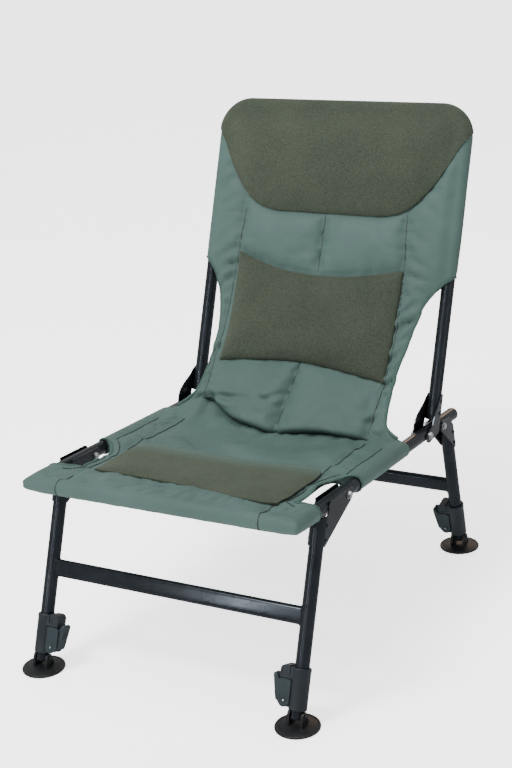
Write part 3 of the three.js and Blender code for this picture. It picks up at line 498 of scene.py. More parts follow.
PLUG_R, PLUG_DEPTH, CAP_RIM, DOME = 9.2, 14, 0.3, 7.2
dome = [(TUBE_R * cos(a), RAIL_LENGTH + 0.4 + DOME * sin(a)) for a in np.linspace(0, pi / 2, 9)]
cap = [(0, RAIL_LENGTH - PLUG_DEPTH), (PLUG_R, RAIL_LENGTH - PLUG_DEPTH),
       (PLUG_R, RAIL_LENGTH + CAP_RIM), (10.8, RAIL_LENGTH + CAP_RIM), *dome[:-1], (0, dome[-1][1])]
for side, sign in SIDES:
    turn = Matrix.Translation((sign * HALF, 0, 0)) @ Matrix.Rotation(-pi / 2, 4, "X")
    show(f"rail_end_cap_{side}", SEAT, lathe(cap, 40, turn), "seat_frame", FOOT_PLASTIC,
         [f"rail_cap_{side}"], sharp=50)


# ---------------------------------------------------------------- brackets
# The front brackets' ears stand level with the rail's top, as places along and above the rail
FRONT_CROWN = ((169, -1), (171, 4), (168, 9), (163, 11.2), (92, 11.2))
WRAP_DROP = 56  # how far a leg bracket wraps down its leg


def leg_bracket(matrix, reach, lean_deg, pivot_at, wrap, ear_r):
    """A channel wrapped round a leg's top, whose two ears reach its pivot beside the rail."""
    py, pz = to_local(matrix, pivot_at)
    half, inner = BRACKET_HALF, BRACKET_BORE
    skew = radians(lean_deg - SLOPE_DEG)
    skin = inner / cos(skew) + abs(half * tan(skew))
    low = reach - WRAP_DROP
    tip = (-wrap * 2, low)
    span, aim = hypot(py - tip[0], pz - tip[1]), atan2(pz - tip[1], py - tip[0])
    start = degrees(aim + wrap * asin(ear_r / span)) + wrap * 90
    crown = FRONT_CROWN if wrap < 0 else ()
    top = 90 + degrees(skew)
    end = top if top < start else top - 360
    if crown:
        end = degrees(skew) - 15
    outline = [(wrap * half, low), tip, *arc((py, pz), ear_r, start, end, 18)]
    outline += [to_local(matrix, *at) for at in crown]
    outline += [(-wrap * 6, reach + 10), (0, reach - 9.5), (wrap * half, reach - skin - FIT)]
    near, far = sorted((0.0, py - wrap * 2 * ear_r))
    ears = box((-half, near, 0), (half, far, 2 * reach))
    hull = carve(cylinder("z", half, 0, reach), (JOIN, ears))
    form = carve(prism(outline, -half, half, "YZ"), (KEEP, hull))
    form = carve(form, (CUT, cylinder("z", inner, -reach, 3 * reach)))
    form = carve(form, (CUT, box((-inner, near, 0), (inner, far, 2 * reach))))
    return carve(form, (CUT, cylinder("x", BOLT_HOLE_R, -3 * half, 3 * half, (py, pz), 24)))


# The curved front edge of a back bracket's ear: shares of its bulge and of its height
EAR_EDGE = ((0.2, 0.15), (0.36, 0.32), (0.58, 0.47), (0.78, 0.62), (0.93, 0.78), (1, 0.92))
EAR_HEIGHT = 60.0


def back_bracket():
    """A channel wrapped behind an upright, with a wide outer and a narrow inner ear."""
    pivot = to_local(BACK, BACK_PIVOT_AT)
    half, inner = BRACKET_HALF, BRACKET_BORE
    throat = inner / cos(BACK_SKEW) + half * tan(BACK_SKEW) + FIT

    def ear(bulge, heel, x0, x1):
        side = [(half, throat), (half, EAR_HEIGHT), (0, EAR_HEIGHT)]
        side += [(-bulge * a, EAR_HEIGHT * (1 - b)) for a, b in EAR_EDGE]
        side += arc(pivot, 12, 180, 300, 14) + [(heel, -5), (heel, throat)]
        return prism(side, x0, x1, "YZ")

    wrap = carve(cylinder("z", half, throat, EAR_HEIGHT),
                 (KEEP, box((-half, 0, throat), (half, half, EAR_HEIGHT))))
    form = carve(ear(49, -7, -half, -inner), (JOIN, ear(28, 2.5, inner, half)), (JOIN, wrap))
    form = carve(form, (CUT, cylinder("z", inner, -200, 200)))
    form = carve(form, (CUT, box((-inner, -98, -49), (inner, 0, 120))))
    keep = carve(cylinder("z", half, -200, 200), (JOIN, box((-half, -98, -98), (half, 0, 120))))
    keep = carve(keep, (JOIN, box((-half, 0, -49), (half, half, throat))))
    form = carve(form, (KEEP, keep))
    return carve(form, (CUT, cylinder("x", BOLT_HOLE_R, -3 * half, 3 * half, pivot, 24)))


RIVET = [(0, 0), (3.4, 0), (3.4, 0.4), (3.4 * 0.86, 1.2), (1.7, 1.9), (0, 2.1)]


def rivets(places):
    """Rivet heads on both flanks of a bracket, at places (y, z)."""
    heads = []
    for face in (-1, 1):
        for y, z in places:
            turn = Matrix.Translation((face * BRACKET_HALF, y, z))
            heads.append(lathe(RIVET, 20, turn @ Matrix.Rotation(pi / 2 * face, 4, "Y")))
    return merged(*heads)


# Name, frame, reach, lean, pivot, the way its bracket wraps, its ears' radius, crossbar height
LEGS = (
    ("front", FRONT, FRONT_REACH, FRONT_LEAN_DEG, FRONT_PIVOT_AT, -1, 13.0, 157.0),
    ("rear", REAR, REAR_REACH, REAR_LEAN_DEG, REAR_PIVOT_AT, 1, 9.0, 130.0),
)
for end, matrix, reach, lean, pivot_at, wrap, ear_r, _ in LEGS:
    form = leg_bracket(matrix, reach, lean, pivot_at, wrap, ear_r)
    heads = rivets([(-wrap * 1.5, reach - drop) for drop in (24, 46)])
    for side, sign in SIDES:
        at = shifted(matrix, sign * HALF)
        show(f"{end}_bracket_{side}", at, form, f"{end}_legs", STEEL,
             [f"{end}_leg_bracket_{side}"], weld=0.01, bevel=0.45)
        show(f"{end}_bracket_rivets_{side}", at, heads, f"{end}_legs", STEEL)

form, heads = back_bracket(), rivets([(-3, 27), (-5, 48)])
for side, sign in SIDES:
    at = shifted(BACK, sign * HALF)
    show(f"back_hinge_bracket_{side}", at, form, "backrest", STEEL,
         [f"back_bracket_{side}"], weld=0.01, bevel=0.45)
    show(f"back_bracket_rivets_{side}", at, heads, "backrest", STEEL)


# ---------------------------------------------------------------- bolts and nuts
BOLT_OUT = BRACKET_HALF + FIT  # from a bolt's middle to its washer or nut
HEX_R, WASHER, HEAD = 5.8, 0.7, 3.3
THREAD_R, THREAD_ROOT, THREAD_PITCH = 3.0, 2.6, 1.0


def hexagon(low, high, chamfer):
    """A hex form about Z with its corners turned off at the top."""
    around = [(0, low - 1), (HEX_R * 1.1, low - 1), (HEX_R * 1.1, high - chamfer),
              (HEX_R * 0.86, high), (0, high)]
    return carve(prism(circle(HEX_R, 6), low, high, "XY"), (KEEP, lathe(around, 32)))


def pivot_bolt():
    seat = BOLT_OUT + WASHER
    washer = lathe([(0, BOLT_OUT), (6.6, BOLT_OUT), (6.6, seat), (0, seat)], 32)
    end = -BOLT_OUT - 7
    thread = [(0, end), (2.4, end)]
    at = end + 0.6
    while at < -BOLT_OUT + 1:
        thread += [(THREAD_R, at), (THREAD_ROOT, at + 0.5)]
        at += THREAD_PITCH
    thread += [(THREAD_R, at), (THREAD_R, BOLT_OUT + 0.2), (0, BOLT_OUT + 0.2)]
    return merged(washer, hexagon(seat, seat + HEAD, 0.9), lathe(thread, 20))


def pivot_nut():
    bore = lathe([(0, -1), (3.2, -1), (3.2, 6), (0, 6)], 24)
    body = carve(hexagon(0, 4.4, 0.8), (CUT, bore))
    collar = [(3.3, 4.2), (4.7, 4.2), (4.7, 5.0), (4.2, 5.6), (3.3, 5.6), (3.3, 4.2)]
    turn = Matrix.Translation((0, 0, -BOLT_OUT)) @ Matrix.Rotation(pi, 4, "X")
    points, faces = merged(body, lathe(collar, 24))
    return [tuple(turn @ Vector(p)) for p in points], faces


FASTENERS = (("bolt", pivot_bolt()), ("nut", pivot_nut()))
for name, along in (("front", FRONT_PIVOT_AT), ("back", BACK_PIVOT_AT), ("rear", REAR_PIVOT_AT)):
    for side, sign in SIDES:
        at = SEAT @ Matrix.Translation((sign * HALF * MM, along * MM, 0))
        at = at @ Matrix.Rotation(sign * pi / 2, 4, "Y")
        for kind, form in FASTENERS:
            show(f"{name}_hinge_{kind}_{side}", at, form, "seat_frame", ZINC,
                 [f"{name}_pivot_{kind}_{side}"], weld=0.005, sharp=25, bevel=0.2)


# ---------------------------------------------------------------- locks, levers and feet
# In a leg's frame: Z along the leg, and the lock faces +X
LOCK_LOW, LOCK_LENGTH, LOCK_R = 30.0, 63.0, 14.2
LOCK_TOP = LOCK_LOW + LOCK_LENGTH
BOX_OUT, BOX_HALF, HEAD_HALF_WIDTH = 28.4, 9.4, 11.6
SLIDER_R = 9.0
HUB = (20.0, LOCK_LOW + 12)  # the lever's pin
HUB_HOLE = ("y", 1.9, -20, 20, HUB, 20)
LEVER_REACH = 32.5
TAB_R, TAB_CORNER, TAB_HALF = 2.6, 5, 8.8
PIN_HEIGHT = 21.0


def lock_form():
    """The collar on the leg, the lever's box beside it and the head with its clamp slit."""
    low, head, top = LOCK_LOW + 3, LOCK_LOW + 46, LOCK_TOP
    collar = [(0, LOCK_LOW), (LOCK_R - 1, LOCK_LOW), (LOCK_R, LOCK_LOW + 1), (LOCK_R, top - 6),
              (LOCK_R + 0.5, top - 5), (LOCK_R + 0.5, top - 1), (LOCK_R - 0.4, top), (0, top)]
    lower = [(0, low), (21.4, low), (BOX_OUT, low + 7), (BOX_OUT, head + 2), (0, head + 2)]
    upper = [(0, head), (29.4, head), *arc((22.4, top - 5), 7, 0, 90, 10),
             (LOCK_R, top + 2), (LOCK_R, top), (0, top)]
    form = carve(lathe(collar, 64), (JOIN, prism(lower, -BOX_HALF, BOX_HALF, "XZ")))
    form = carve(form, (JOIN, prism(upper, -HEAD_HALF_WIDTH, HEAD_HALF_WIDTH, "XZ")))
    form = carve(form, (CUT, cylinder("z", BRACKET_BORE, LOCK_LOW + 4, top + 5, sides=64)))
    form = carve(form, (CUT, cylinder("z", SLIDER_R + FIT, 0, 2 * top, sides=64)))
    # The clamp slit between collar and head, then a moulded recess on each face of the head
    for y0, y1 in ((-14, -10.6), (10.6, 14)):
        form = carve(form, (CUT, box((12.4, y0, head + 4), (13.6, y1, top + 9))))
    for y0, y1 in ((-12, -11.0), (11.0, 12)):
        form = carve(form, (CUT, box((16.5, y0, head + 3), (27, y1, top - 4))))
    return carve(form, (CUT, cylinder(*HUB_HOLE)))


def lever_form():
    """Two cheeks on the lock's box, joined by a finger tab that stands off it."""
    near = BOX_OUT + FIT
    out = near + 3
    half = BOX_HALF + FIT + 2

    def sweep_at(x):
        return (x, HUB[1] + sqrt(LEVER_REACH**2 - (x - HUB[0]) ** 2))

    cheek = [sweep_at(x) for x in np.linspace(out, 10.6, 8)]
    cheek += arc(HUB, 9.6, 180, 300, 14) + [(out, HUB[1])]
    tip = (39.0, LOCK_LOW + 48)
    tab = [(near, HUB[1] + 4), (34, LOCK_LOW + 10), (36.6, LOCK_LOW + 21),
           *arc(tip, TAB_R, 0, 160, 10), sweep_at(out), sweep_at(near)]
    form = carve(prism(cheek, -half, half, "XZ"),
                 (CUT, box((0, -half + 2, 0), (near, half - 2, 200))))
    form = carve(form, (CUT, box((0, -half + 2, 0), (out + 5, half - 2, HUB[1] + 4))))
    form = carve(form, (JOIN, prism(tab, -half, half, "XZ")))
    # The finger tab is narrower than the cheeks, and its free end is round
    across, top = TAB_HALF - TAB_CORNER, tip[1] + TAB_R - TAB_CORNER
    end = arc((across, top), TAB_CORNER, 0, 90, 8) + arc((-across, top), TAB_CORNER, 90, 180, 8)
    paddle = prism([(-TAB_HALF, 0), (TAB_HALF, 0), *end], out - 2, 60, "YZ")
    room = carve(box((-60, -half - 1, 0), (out + 0.2, half + 1, 200)), (JOIN, paddle))
    form = carve(form, (KEEP, room))
    # Grip grooves on the tab, and a plain raised round boss on each cheek
    for k in range(4):
        groove = (37.6 + 1.03 * k, LOCK_LOW + 29 + 4.2 * k)
        form = carve(form, (CUT, cylinder("y", 0.7, -8, 8, groove, 12)))
    for y0, y1 in ((-half - 0.5, -half + 1), (half - 1, half + 0.5)):
        form = carve(form, (JOIN, cylinder("y", 4.4, y0, y1, HUB, 32)))
    return carve(form, (CUT, cylinder(*HUB_HOLE)))


MUD_DISC = [(0, 0), (33.4, 0), (34.6, 0.5), (35, 1.5), (35, 2.6), (34.5, 3.7), (33.4, 4.3),
            (31.5, 4.4), (30.4, 3.9), (29.2, 4.3), (20, 5.2), (12, 6.6), (0, 7)]
LUG_IN, LUG_WIDE = 9.3, 4


def foot_form():
    form = lathe(MUD_DISC, 96)
    lug = [(-11, 4.5), (11, 4.5), (9.5, 12), *arc((0, PIN_HEIGHT), 6.8, 20, 160, 14), (-9.5, 12)]
    for x in (LUG_IN, -LUG_IN - LUG_WIDE):
        form = carve(form, (JOIN, prism(lug, x, x + LUG_WIDE, "YZ")))
    return carve(form, (CUT, cylinder("x", 2.9, -40, 40, (0, PIN_HEIGHT), 24)))


# ---------------------------------------------------------------- legs
BAR_HALF_LENGTH, BAR_R, BEAD_R = 7, 7, 1.5  # a crossbar is a flattened tube
LEG_BORE = 9.5


def leg_parts(lean, reach):
    """A leg's pieces: name, form, look, body, CAD node and edges; # stands for the side."""
    skew = radians(lean - SLOPE_DEG)
    top = reach - BRACKET_BORE / cos(skew) - abs(TUBE_R * tan(skew))
    foot = LOCK_LOW + 4.3
    pin = PIN_HEIGHT / cos(radians(lean))
    low = pin - 7
    tube = [(LEG_BORE, foot), (TUBE_R, foot), (TUBE_R, top), (LEG_BORE, top), (LEG_BORE, foot)]
    slider = [(0, low + 0.6), (6.6, low + 0.1), (8.3, low + 0.9), (SLIDER_R, low + 2.6),
              (SLIDER_R, low + 185), (7.6, low + 185), (7.6, low + 30), (0, low + 29)]
    axle = cylinder("x", 2.6, -14.9, 14.9, (0, pin), 24)
    return (
        ("leg_#", lathe(tube, 40), STEEL, "legs", "leg_tube_#", dict(weld=0.001, bevel=0.4)),
        ("lock_#", lock, PLASTIC, "legs", "lock_housing_#", dict(weld=0.01, bevel=0.5)),
        ("cam_lever_#", lever, LEVER_PLASTIC, "#_lever", "lock_lever_#",
         dict(weld=0.01, bevel=0.45)),
        ("cam_pin_#", cylinder("y", 1.6, -11.7, 11.7, HUB, 20), ZINC, "legs", "lever_pin_#",
         dict(bevel=0.25)),
        ("slider_tube_#", lathe(slider, 40), STEEL, "#_slider", "inner_tube_#", dict(sharp=50)),
        ("foot_axle_#", axle, STEEL, "#_slider", "foot_pin_#", dict(bevel=0.5)),
        ("mud_foot_#", foot_shape, FOOT_PLASTIC, "#_foot_plate", "foot_#",
         dict(weld=0.01, sharp=30, bevel=0.5)),
    )


lock, lever, foot_shape = lock_form(), lever_form(), foot_form()
for end, matrix, reach, lean, _, _, _, bar_height in LEGS:
    upright = cos(radians(lean))
    for side, sign in SIDES:
        straight = shifted(matrix, sign * HALF)
        level = straight @ Matrix.Translation((0, 0, PIN_HEIGHT / upright * MM))
        level = level @ Matrix.Rotation(radians(lean), 4, "X")
        frames = {
            "lock_#": shifted(matrix, sign * HALF, sign > 0),
            "mud_foot_#": level @ Matrix.Translation((0, 0, -PIN_HEIGHT * MM)),
        }
        frames["cam_lever_#"] = frames["cam_pin_#"] = frames["lock_#"]
        for name, form, look, body, node, edges in leg_parts(lean, reach):
            piece, body, node = (f"{end}_{t.replace('#', side)}" for t in (name, body, node))
            show(piece, frames.get(name, straight), form, body, look, [node], **edges)
    at = bar_height / upright
    bar = prism(slotted(at, BAR_HALF_LENGTH, BAR_R, 16), -HALF, HALF, "YZ")
    ends = [[(sign * HALF + a, b) for a, b in circle(TUBE_R + 0.15, 48)] for _, sign in SIDES]
    bar = carve(bar, *[(CUT, prism(ring, 0, reach, "XY")) for ring in ends])
    show(f"{end}_cross_bar", matrix, bar, f"{end}_legs", STEEL, [f"{end}_crossbar"],
         weld=0.01, sharp=30)
    loop = slotted(at, BAR_HALF_LENGTH, BAR_R + 0.3, 12)
    beads = []
    for _, sign in SIDES:
        path = [(sign * (HALF - sqrt(max(TUBE_R**2 - y * y, 0)) - 0.3), y, z)
                for y, z in [*loop, loop[0]]]
        beads.append(sweep(path, circle(BEAD_R, 8), [(sign, 0, 0)], closed_ends=False))
    show(f"{end}_weld_beads", matrix, merged(*beads), f"{end}_legs", STEEL, weld=0.01, sharp=60)


# ---------------------------------------------------------------- soft goods: shared tools
def table(rows, at):
    """Smooth curve through [place, value] rows, held flat beyond its ends."""
    a = np.array([r[0] for r in rows], float)
    b = np.array([r[1] for r in rows], float)
    at = np.clip(np.asarray(at, float), a[0], a[-1])
    slope = np.empty_like(b)
    slope[1:-1] = (b[2:] - b[:-2]) / (a[2:] - a[:-2])
    slope[0] = (b[1] - b[0]) / (a[1] - a[0])
    slope[-1] = (b[-1] - b[-2]) / (a[-1] - a[-2])
    k = np.clip(np.searchsorted(a, at, side="right") - 1, 0, len(a) - 2)
    w = a[k + 1] - a[k]
    t = (at - a[k]) / w
    rise = w * ((1 - t) ** 2 * t * slope[k] - t**2 * (1 - t) * slope[k + 1])
    return b[k] + (b[k + 1] - b[k]) * t**2 * (3 - 2 * t) + rise


def smooth(t):
    t = np.clip(t, 0, 1)
    return t * t * (3 - 2 * t)


def ripple(at, seed, pitch):
    """Uneven waves along a seam, the same on every run."""
    rng = np.random.default_rng(seed)
    total = np.zeros_like(np.asarray(at, float))
    for _ in range(5):
        length = pitch * rng.uniform(0.7, 1.7)
        high = rng.uniform(0.5, 1)
        total += high * np.sin(2 * pi * np.asarray(at) / length + rng.uniform(0, 6.28))
    return total / 2.2


def crowded(count, bend=0.9):
    """Places from -1 to 1, closer together towards both ends."""
    return np.sin(np.linspace(-1, 1, count) * pi / 2 * bend) / sin(pi / 2 * bend)


def sleeve_columns(turns):
    """Places across a cloth whose sides turn over the tubes, as shares of its half-width."""
    full = HALF + SLEEVE_R
    inner = np.linspace(-1, 1, 79) * (HALF / full)
    turn = (HALF + SLEEVE_R * np.sin(np.linspace(0, pi / 2, turns))[1:]) / full
    return np.concatenate([-turn[::-1], inner, turn])


def crown_at(distances, height, reach, power):
    """Fullness of a stuffed form, by its distances to its edges."""
    near = sum(np.maximum(d, 1e-3) ** -2.0 for d in distances) ** -0.5
    return height * np.sin(pi / 2 * np.minimum(near / reach, 1)) ** power


LIP_GAP = 8  # lips further apart than this are a sleeve's mouth


def shell(front, rear, rim=0.0):
    """Closed form from two grids of points (rows x cols x 3) that share their outline's place."""
    rows, cols = front.shape[:2]
    points = np.concatenate([front.reshape(-1, 3), rear.reshape(-1, 3)])
    layer = rows * cols
    faces = grid_faces(cols, rows)
    faces += [tuple(layer + i for i in reversed(f)) for f in grid_faces(cols, rows)]
    loop = [j * cols for j in range(rows)] + [(rows - 1) * cols + i for i in range(1, cols)]
    loop += [j * cols + cols - 1 for j in range(rows - 2, -1, -1)] + list(range(cols - 2, 0, -1))
    other = points[[layer + i for i in loop]]
    middle = (points[loop] + other) / 2
    if rim:
        # A wide rim is drawn in between its two lips
        gap = np.linalg.norm(points[loop] - other, axis=1)
        inward = points.mean(axis=0) - middle
        inward /= np.linalg.norm(inward, axis=1)[:, None]
        middle = middle + inward * (np.clip(gap - LIP_GAP, 0, 20) * rim)[:, None]
    base = len(points)
    points = np.concatenate([points, middle])
    n = len(loop)
    for i in range(n):
        j = (i + 1) % n
        faces.append((loop[i], base + i, base + j, loop[j]))
        faces.append((base + i, layer + loop[i], layer + loop[j], base + j))
    return points, faces


def grown(points, faces, pins, pressure, grow, frames):
    """The cloth settles: a slightly large sheet, held at its pins, buckles under pressure."""
    me = bpy.data.meshes.new("settling")
    me.from_pydata((np.asarray(points) * MM).tolist(), [], faces)
    ob = add_object("settling", me)
    group = ob.vertex_groups.new(name="pins")
    group.add(np.nonzero(pins)[0].tolist(), 1.0, "REPLACE")
    m = ob.modifiers.new("cloth", "CLOTH")
    s = m.settings
    s.quality, s.mass, s.air_damping = 6, 0.3, 2
    s.tension_stiffness = s.compression_stiffness = 40
    s.shear_stiffness, s.bending_stiffness = 20, 0.6
    s.tension_damping = s.compression_damping = s.shear_damping = 10
    s.vertex_group_mass, s.pin_stiffness = "pins", 1
    s.use_pressure, s.uniform_pressure_force = True, pressure
    s.shrink_min = -grow
    s.effector_weights.gravity = 0
    m.collision_settings.use_collision = False
    m.point_cache.frame_start, m.point_cache.frame_end = 1, frames
    scene = bpy.context.scene
    for f in range(1, frames + 1):
        scene.frame_set(f)
    dg = bpy.context.evaluated_depsgraph_get()
    done = bpy.data.meshes.new_from_object(ob.evaluated_get(dg))
    out = np.empty(len(done.vertices) * 3)
    done.vertices.foreach_get("co", out)
    bpy.data.objects.remove(ob)
    bpy.data.meshes.remove(me)
    bpy.data.meshes.remove(done)
    scene.frame_set(1)
    return out.reshape(-1, 3) / MM


def settled(grid, held, pressure, grow, frames, most, keep=1.0):
    """A grid of points after the cloth has settled, moved by at most so many millimetres."""
    points = grid.reshape(-1, 3)
    rows, cols = grid.shape[:2]
    move = grown(points, grid_faces(cols, rows), held.ravel(), pressure, grow, frames) - points
    far = np.linalg.norm(move, axis=1, keepdims=True)
    return (points + keep * move * np.minimum(1, most / np.maximum(far, 1e-6))).reshape(grid.shape)


def run_along(line):
    """The length of a polyline up to each of its points."""
    return np.concatenate([[0], np.cumsum(np.linalg.norm(np.diff(line, axis=0), axis=1))])


def points_at(line, run, at):
    return np.stack([np.interp(at, run, line[:, k]) for k in range(line.shape[1])], axis=-1)


def dense(line, step):
    """Points along a polyline, about a step apart."""
    line = np.asarray(line, float)
    run = run_along(line)
    return points_at(line, run, np.linspace(0, run[-1], max(int(run[-1] / step), 2) + 1))


def ribbon(line, ups, wide, thick):
    """Binding tape along a line, as a flattened cord."""
    turns = np.linspace(0, 2 * pi, 13)[:-1]
    return sweep(line, [(wide * cos(t), thick * sin(t)) for t in turns], ups)


STITCH, STITCH_PITCH, THREAD_WIDE = 4.2, 5.6, 0.8


def stitches(lines):
    """Thread dashes along polylines of points on a cloth."""
    parts = []
    for line in lines:
        line = np.asarray(line, float)
        run = run_along(line)
        at = 1.0
        while at + STITCH < run[-1]:
            dash = points_at(line, run, [at, at + STITCH / 2, at + STITCH])
            parts.append(sweep(dash, circle(THREAD_WIDE, 6), [(0.3, -0.8, 0.5)]))
            at += STITCH_PITCH
    return merged(*parts)


def read_grid(xs, ys, values, x, y):
    """Values of a grid of places (rows x cols), read in between them at other places."""
    out = []
    for a, b in zip(x, y):
        column = [np.interp(a, xs[j], values[j]) for j in range(len(xs))]
        along = [np.interp(a, xs[j], ys[j]) for j in range(len(xs))]
        out.append(float(np.interp(b, along, column)))
    return np.array(out)


# ---------------------------------------------------------------- the back's shape
# In the back's frame: x across, u along the uprights, and how far the cloth stands proud
BACK_PROFILE = [(-39, 131), (89, 62), (246, 24), (350, 17), (538, 13.3)]
# Half-widths of the cloth's sides by u, first for x < 0. The lowest stay inside the tube's axis
WAIST = (
    [(-23, 229.8), (-18, 201), (-12, 187), (-4, 179), (8, 176), (31, 175), (69, 174), (104, 175),
     (128, 177), (164, 184), (204, 197), (240, 218), (255, 233), (264, 243.3), (492, 243.3)],
    [(-23, 229.8), (-16, 213), (-7, 199), (1, 192), (11, 188), (32, 184), (75, 180), (93, 180),
     (119, 183), (163, 189), (207, 201), (235, 219), (249, 232), (260, 243.3), (492, 243.3)],
)
# The cloth's lower edge, where it meets the seat
CREASE = [(-234, -24), (-210, -20), (-196, -13), (-184, -3), (-168, 3), (-150, 6), (-135, 3),
          (-120, -7), (-85, -24), (-42, -33), (-4, -40), (23, -36), (54, -31), (82, -28),
          (109, -28), (145, -30), (169, -31), (200, -26), (234, -24)]
# Pulled folds of the back cloth: from x, u to x, u, and how deep
BACK_FOLDS = [
    (156, 157, 187, 178, 3.4), (219, 383, 249, 400, 2.4), (165, 184, 188, 212, 2.4),
    (158, 103, 178, 121, 2.8), (162, 59, 184, 76, 3.8), (162, -4, 184, 17, 3.6),
    (176, -8, 190, 10, 2.8), (176, 12, 175, 56, 2.8), (161, 257, 207, 243, 2.2),
    (-199, 241, -168, 254, 2.6), (-196, 209, -171, 229, 2.8), (-180, 83, -158, 105, 2.8),
    (-177, 62, -170, 86, 2.2), (-168, 3, -152, 12, 2.8), (-147, 12, -121, -6, 3.0),
    (-149, 12, -95, 10, 2.6), (-40, 14, -4, 31, 2.6), (-51, 18, -10, 5, 2.2),
    (-127, 15, -62, 11, 1.8),
]
FOLD_DEPTH, FOLD_WIDTH = 1.4, 5.0
SIDE_SEAMS = (
    [(-40, 154), (60, 164), (242, 170), (362, 165), (470, 158)],
    [(-40, 168), (64, 166), (211, 158), (362, 148), (470, 142)],
)
MIDDLE_SEAM = -5.0  # above the lumbar pad; below MIDDLE_TURN it runs on at x = 0
MIDDLE_TURN = 160
LUMBAR_TOP = [(-170, 276), (-122, 260), (-74, 248), (-3, 242), (77, 247), (165, 264)]
LUMBAR_LOW = [(-165, 72), (-89, 81), (0, 85), (75, 78), (170, 64)]
HEAD_HALF = [(351, 96), (353.5, 116), (358, 133), (370, 155), (392, 177), (415, 194), (444, 211),
             (471, 225), (492, 239), (505, 246)]
HEAD_BOTTOM, HEAD_BOTTOM_HALF = 351.0, 96
CORNER = (184.0, 492.0)  # middle of the top corners' turn
CORNER_R = 59.3
MOUTH_AT = 262  # u of the side sleeves' mouths
TUCK = 15
NOT_NEAR = 999


def by_side(x, u, pair):
    return np.where(np.asarray(x) < 0, table(pair[0], u), table(pair[1], u))


def side_seam(x, u):
    return by_side(x, u, SIDE_SEAMS)


def lumbar_top(x):
    return table(LUMBAR_TOP, x)


def lumbar_low(x):
    return table(LUMBAR_LOW, x)


def head_low(x):
    rows = [(h, u) for u, h in HEAD_HALF]
    return np.where(np.abs(x) < HEAD_BOTTOM_HALF, HEAD_BOTTOM, table(rows, np.abs(x)))


def base_proud(x, u):
    """The bare cloth, which hangs away from the uprights' plane towards the crease."""
    middle = table(BACK_PROFILE, u)
    across = 1 - np.minimum(1, np.abs(x) / HALF) ** 2
    pull = np.clip((258 - u) / (258 - 89), 0, 1)
    edge = SLEEVE_R + (middle - SLEEVE_R) * pull
    return edge + (middle - edge) * across


def back_rim(x, u):
    """How far a place lies outside the back tube's centre line."""
    cx, cu = np.abs(x) - CORNER[0], u - CORNER[1]
    round_ = np.hypot(np.maximum(cx, 0), np.maximum(cu, 0)) - BACK_CORNER_R
    return np.where((cx > 0) & (cu > 0), round_, np.maximum(np.abs(x) - HALF, u - BACK_LENGTH))


def back_folds(x, u):
    """Narrow valleys with a soft ridge on both sides, fading at their ends."""
    total = np.zeros_like(x)
    for x0, u0, x1, u1, deep in BACK_FOLDS:
        dx, du = x1 - x0, u1 - u0
        span = hypot(dx, du)
        t = ((x - x0) * dx + (u - u0) * du) / span**2
        off = np.abs(((x - x0) * du - (u - u0) * dx) / span) / FOLD_WIDTH
        shape = 0.75 * np.exp(-(((off - 2.2) / 1.3) ** 2)) - np.exp(-(off**2))
        total += deep * shape * np.exp(-(((t - 0.5) / 0.55) ** 4))
    return total


def row_half(x):
    """Each row's half-width, on the side that a place is on."""
    return np.where(x < 0, -x.min(axis=1, keepdims=True), x.max(axis=1, keepdims=True))


def beside(gap, high, fade, waves):
    """Puckers beside a seam: none on it, most close to it and fewer further off."""
    return high * np.exp(-gap / fade) * (1 - np.exp(-gap / 2)) * waves


def back_fields(x, u, half):
    """Fullness of the quilted fields between the seams, and the puckers beside the seams."""
    seam = side_seam(x, u)
    to_side = np.abs(np.abs(x) - seam)
    inside = np.abs(x) < seam
    middle = np.where(u > MIDDLE_TURN, MIDDLE_SEAM, 0.0)
    to_middle = np.where(inside, np.abs(x - middle), NOT_NEAR)
    to_head = np.abs(u - head_low(x))
    to_lumbar = np.minimum(np.abs(u - lumbar_top(x)), np.abs(u - lumbar_low(x)))
    to_lumbar = np.where(inside, to_lumbar, NOT_NEAR)
    to_edge = np.where(inside, NOT_NEAR, np.maximum(half - np.abs(x), 0) + 2)
    near = np.minimum.reduce([to_side, to_middle, to_head, to_lumbar, to_edge])
    padded = (u < lumbar_top(x)) & (u > lumbar_low(x)) & inside | (u > head_low(x))
    full = np.where(inside, 12.0 + 3.0 * smooth((95 - u) / 60), 8.0)
    lift = full * (1 - np.exp(-near / 12.0))
    lift = np.where(padded, np.minimum(lift, 2.0), lift)
    pucker = beside(to_side, 3.0, 13, ripple(u, 3, 19))
    pucker += beside(to_middle, 2.2, 12, ripple(u, 5, 21))
    pucker += beside(to_lumbar, 2.0, 12, ripple(x, 7, 24))
    wing = np.where(inside, 0, smooth(to_side / 12)) * smooth((half - np.abs(x)) / 14)
    slant = u + 0.75 * np.abs(x) + 5 * ripple(u, 11, 60)
    pucker += 2.4 * wing * ripple(slant, 13, 44) * smooth((500 - u) / 60)
    pucker += 1.6 * wing * smooth((270 - u) / 30) * ripple(u - 0.5 * np.abs(x), 17, 23)
    # The wings lie flat where they run out into the seat's sleeves
    runout = np.where(inside, 1, smooth((u - table(CREASE, x)) / 34))
    return lift * runout + pucker * (1 - 0.7 * padded) * runout


LEVEL = 60.0  # above this the rows are level, and below it they fan out down to the crease


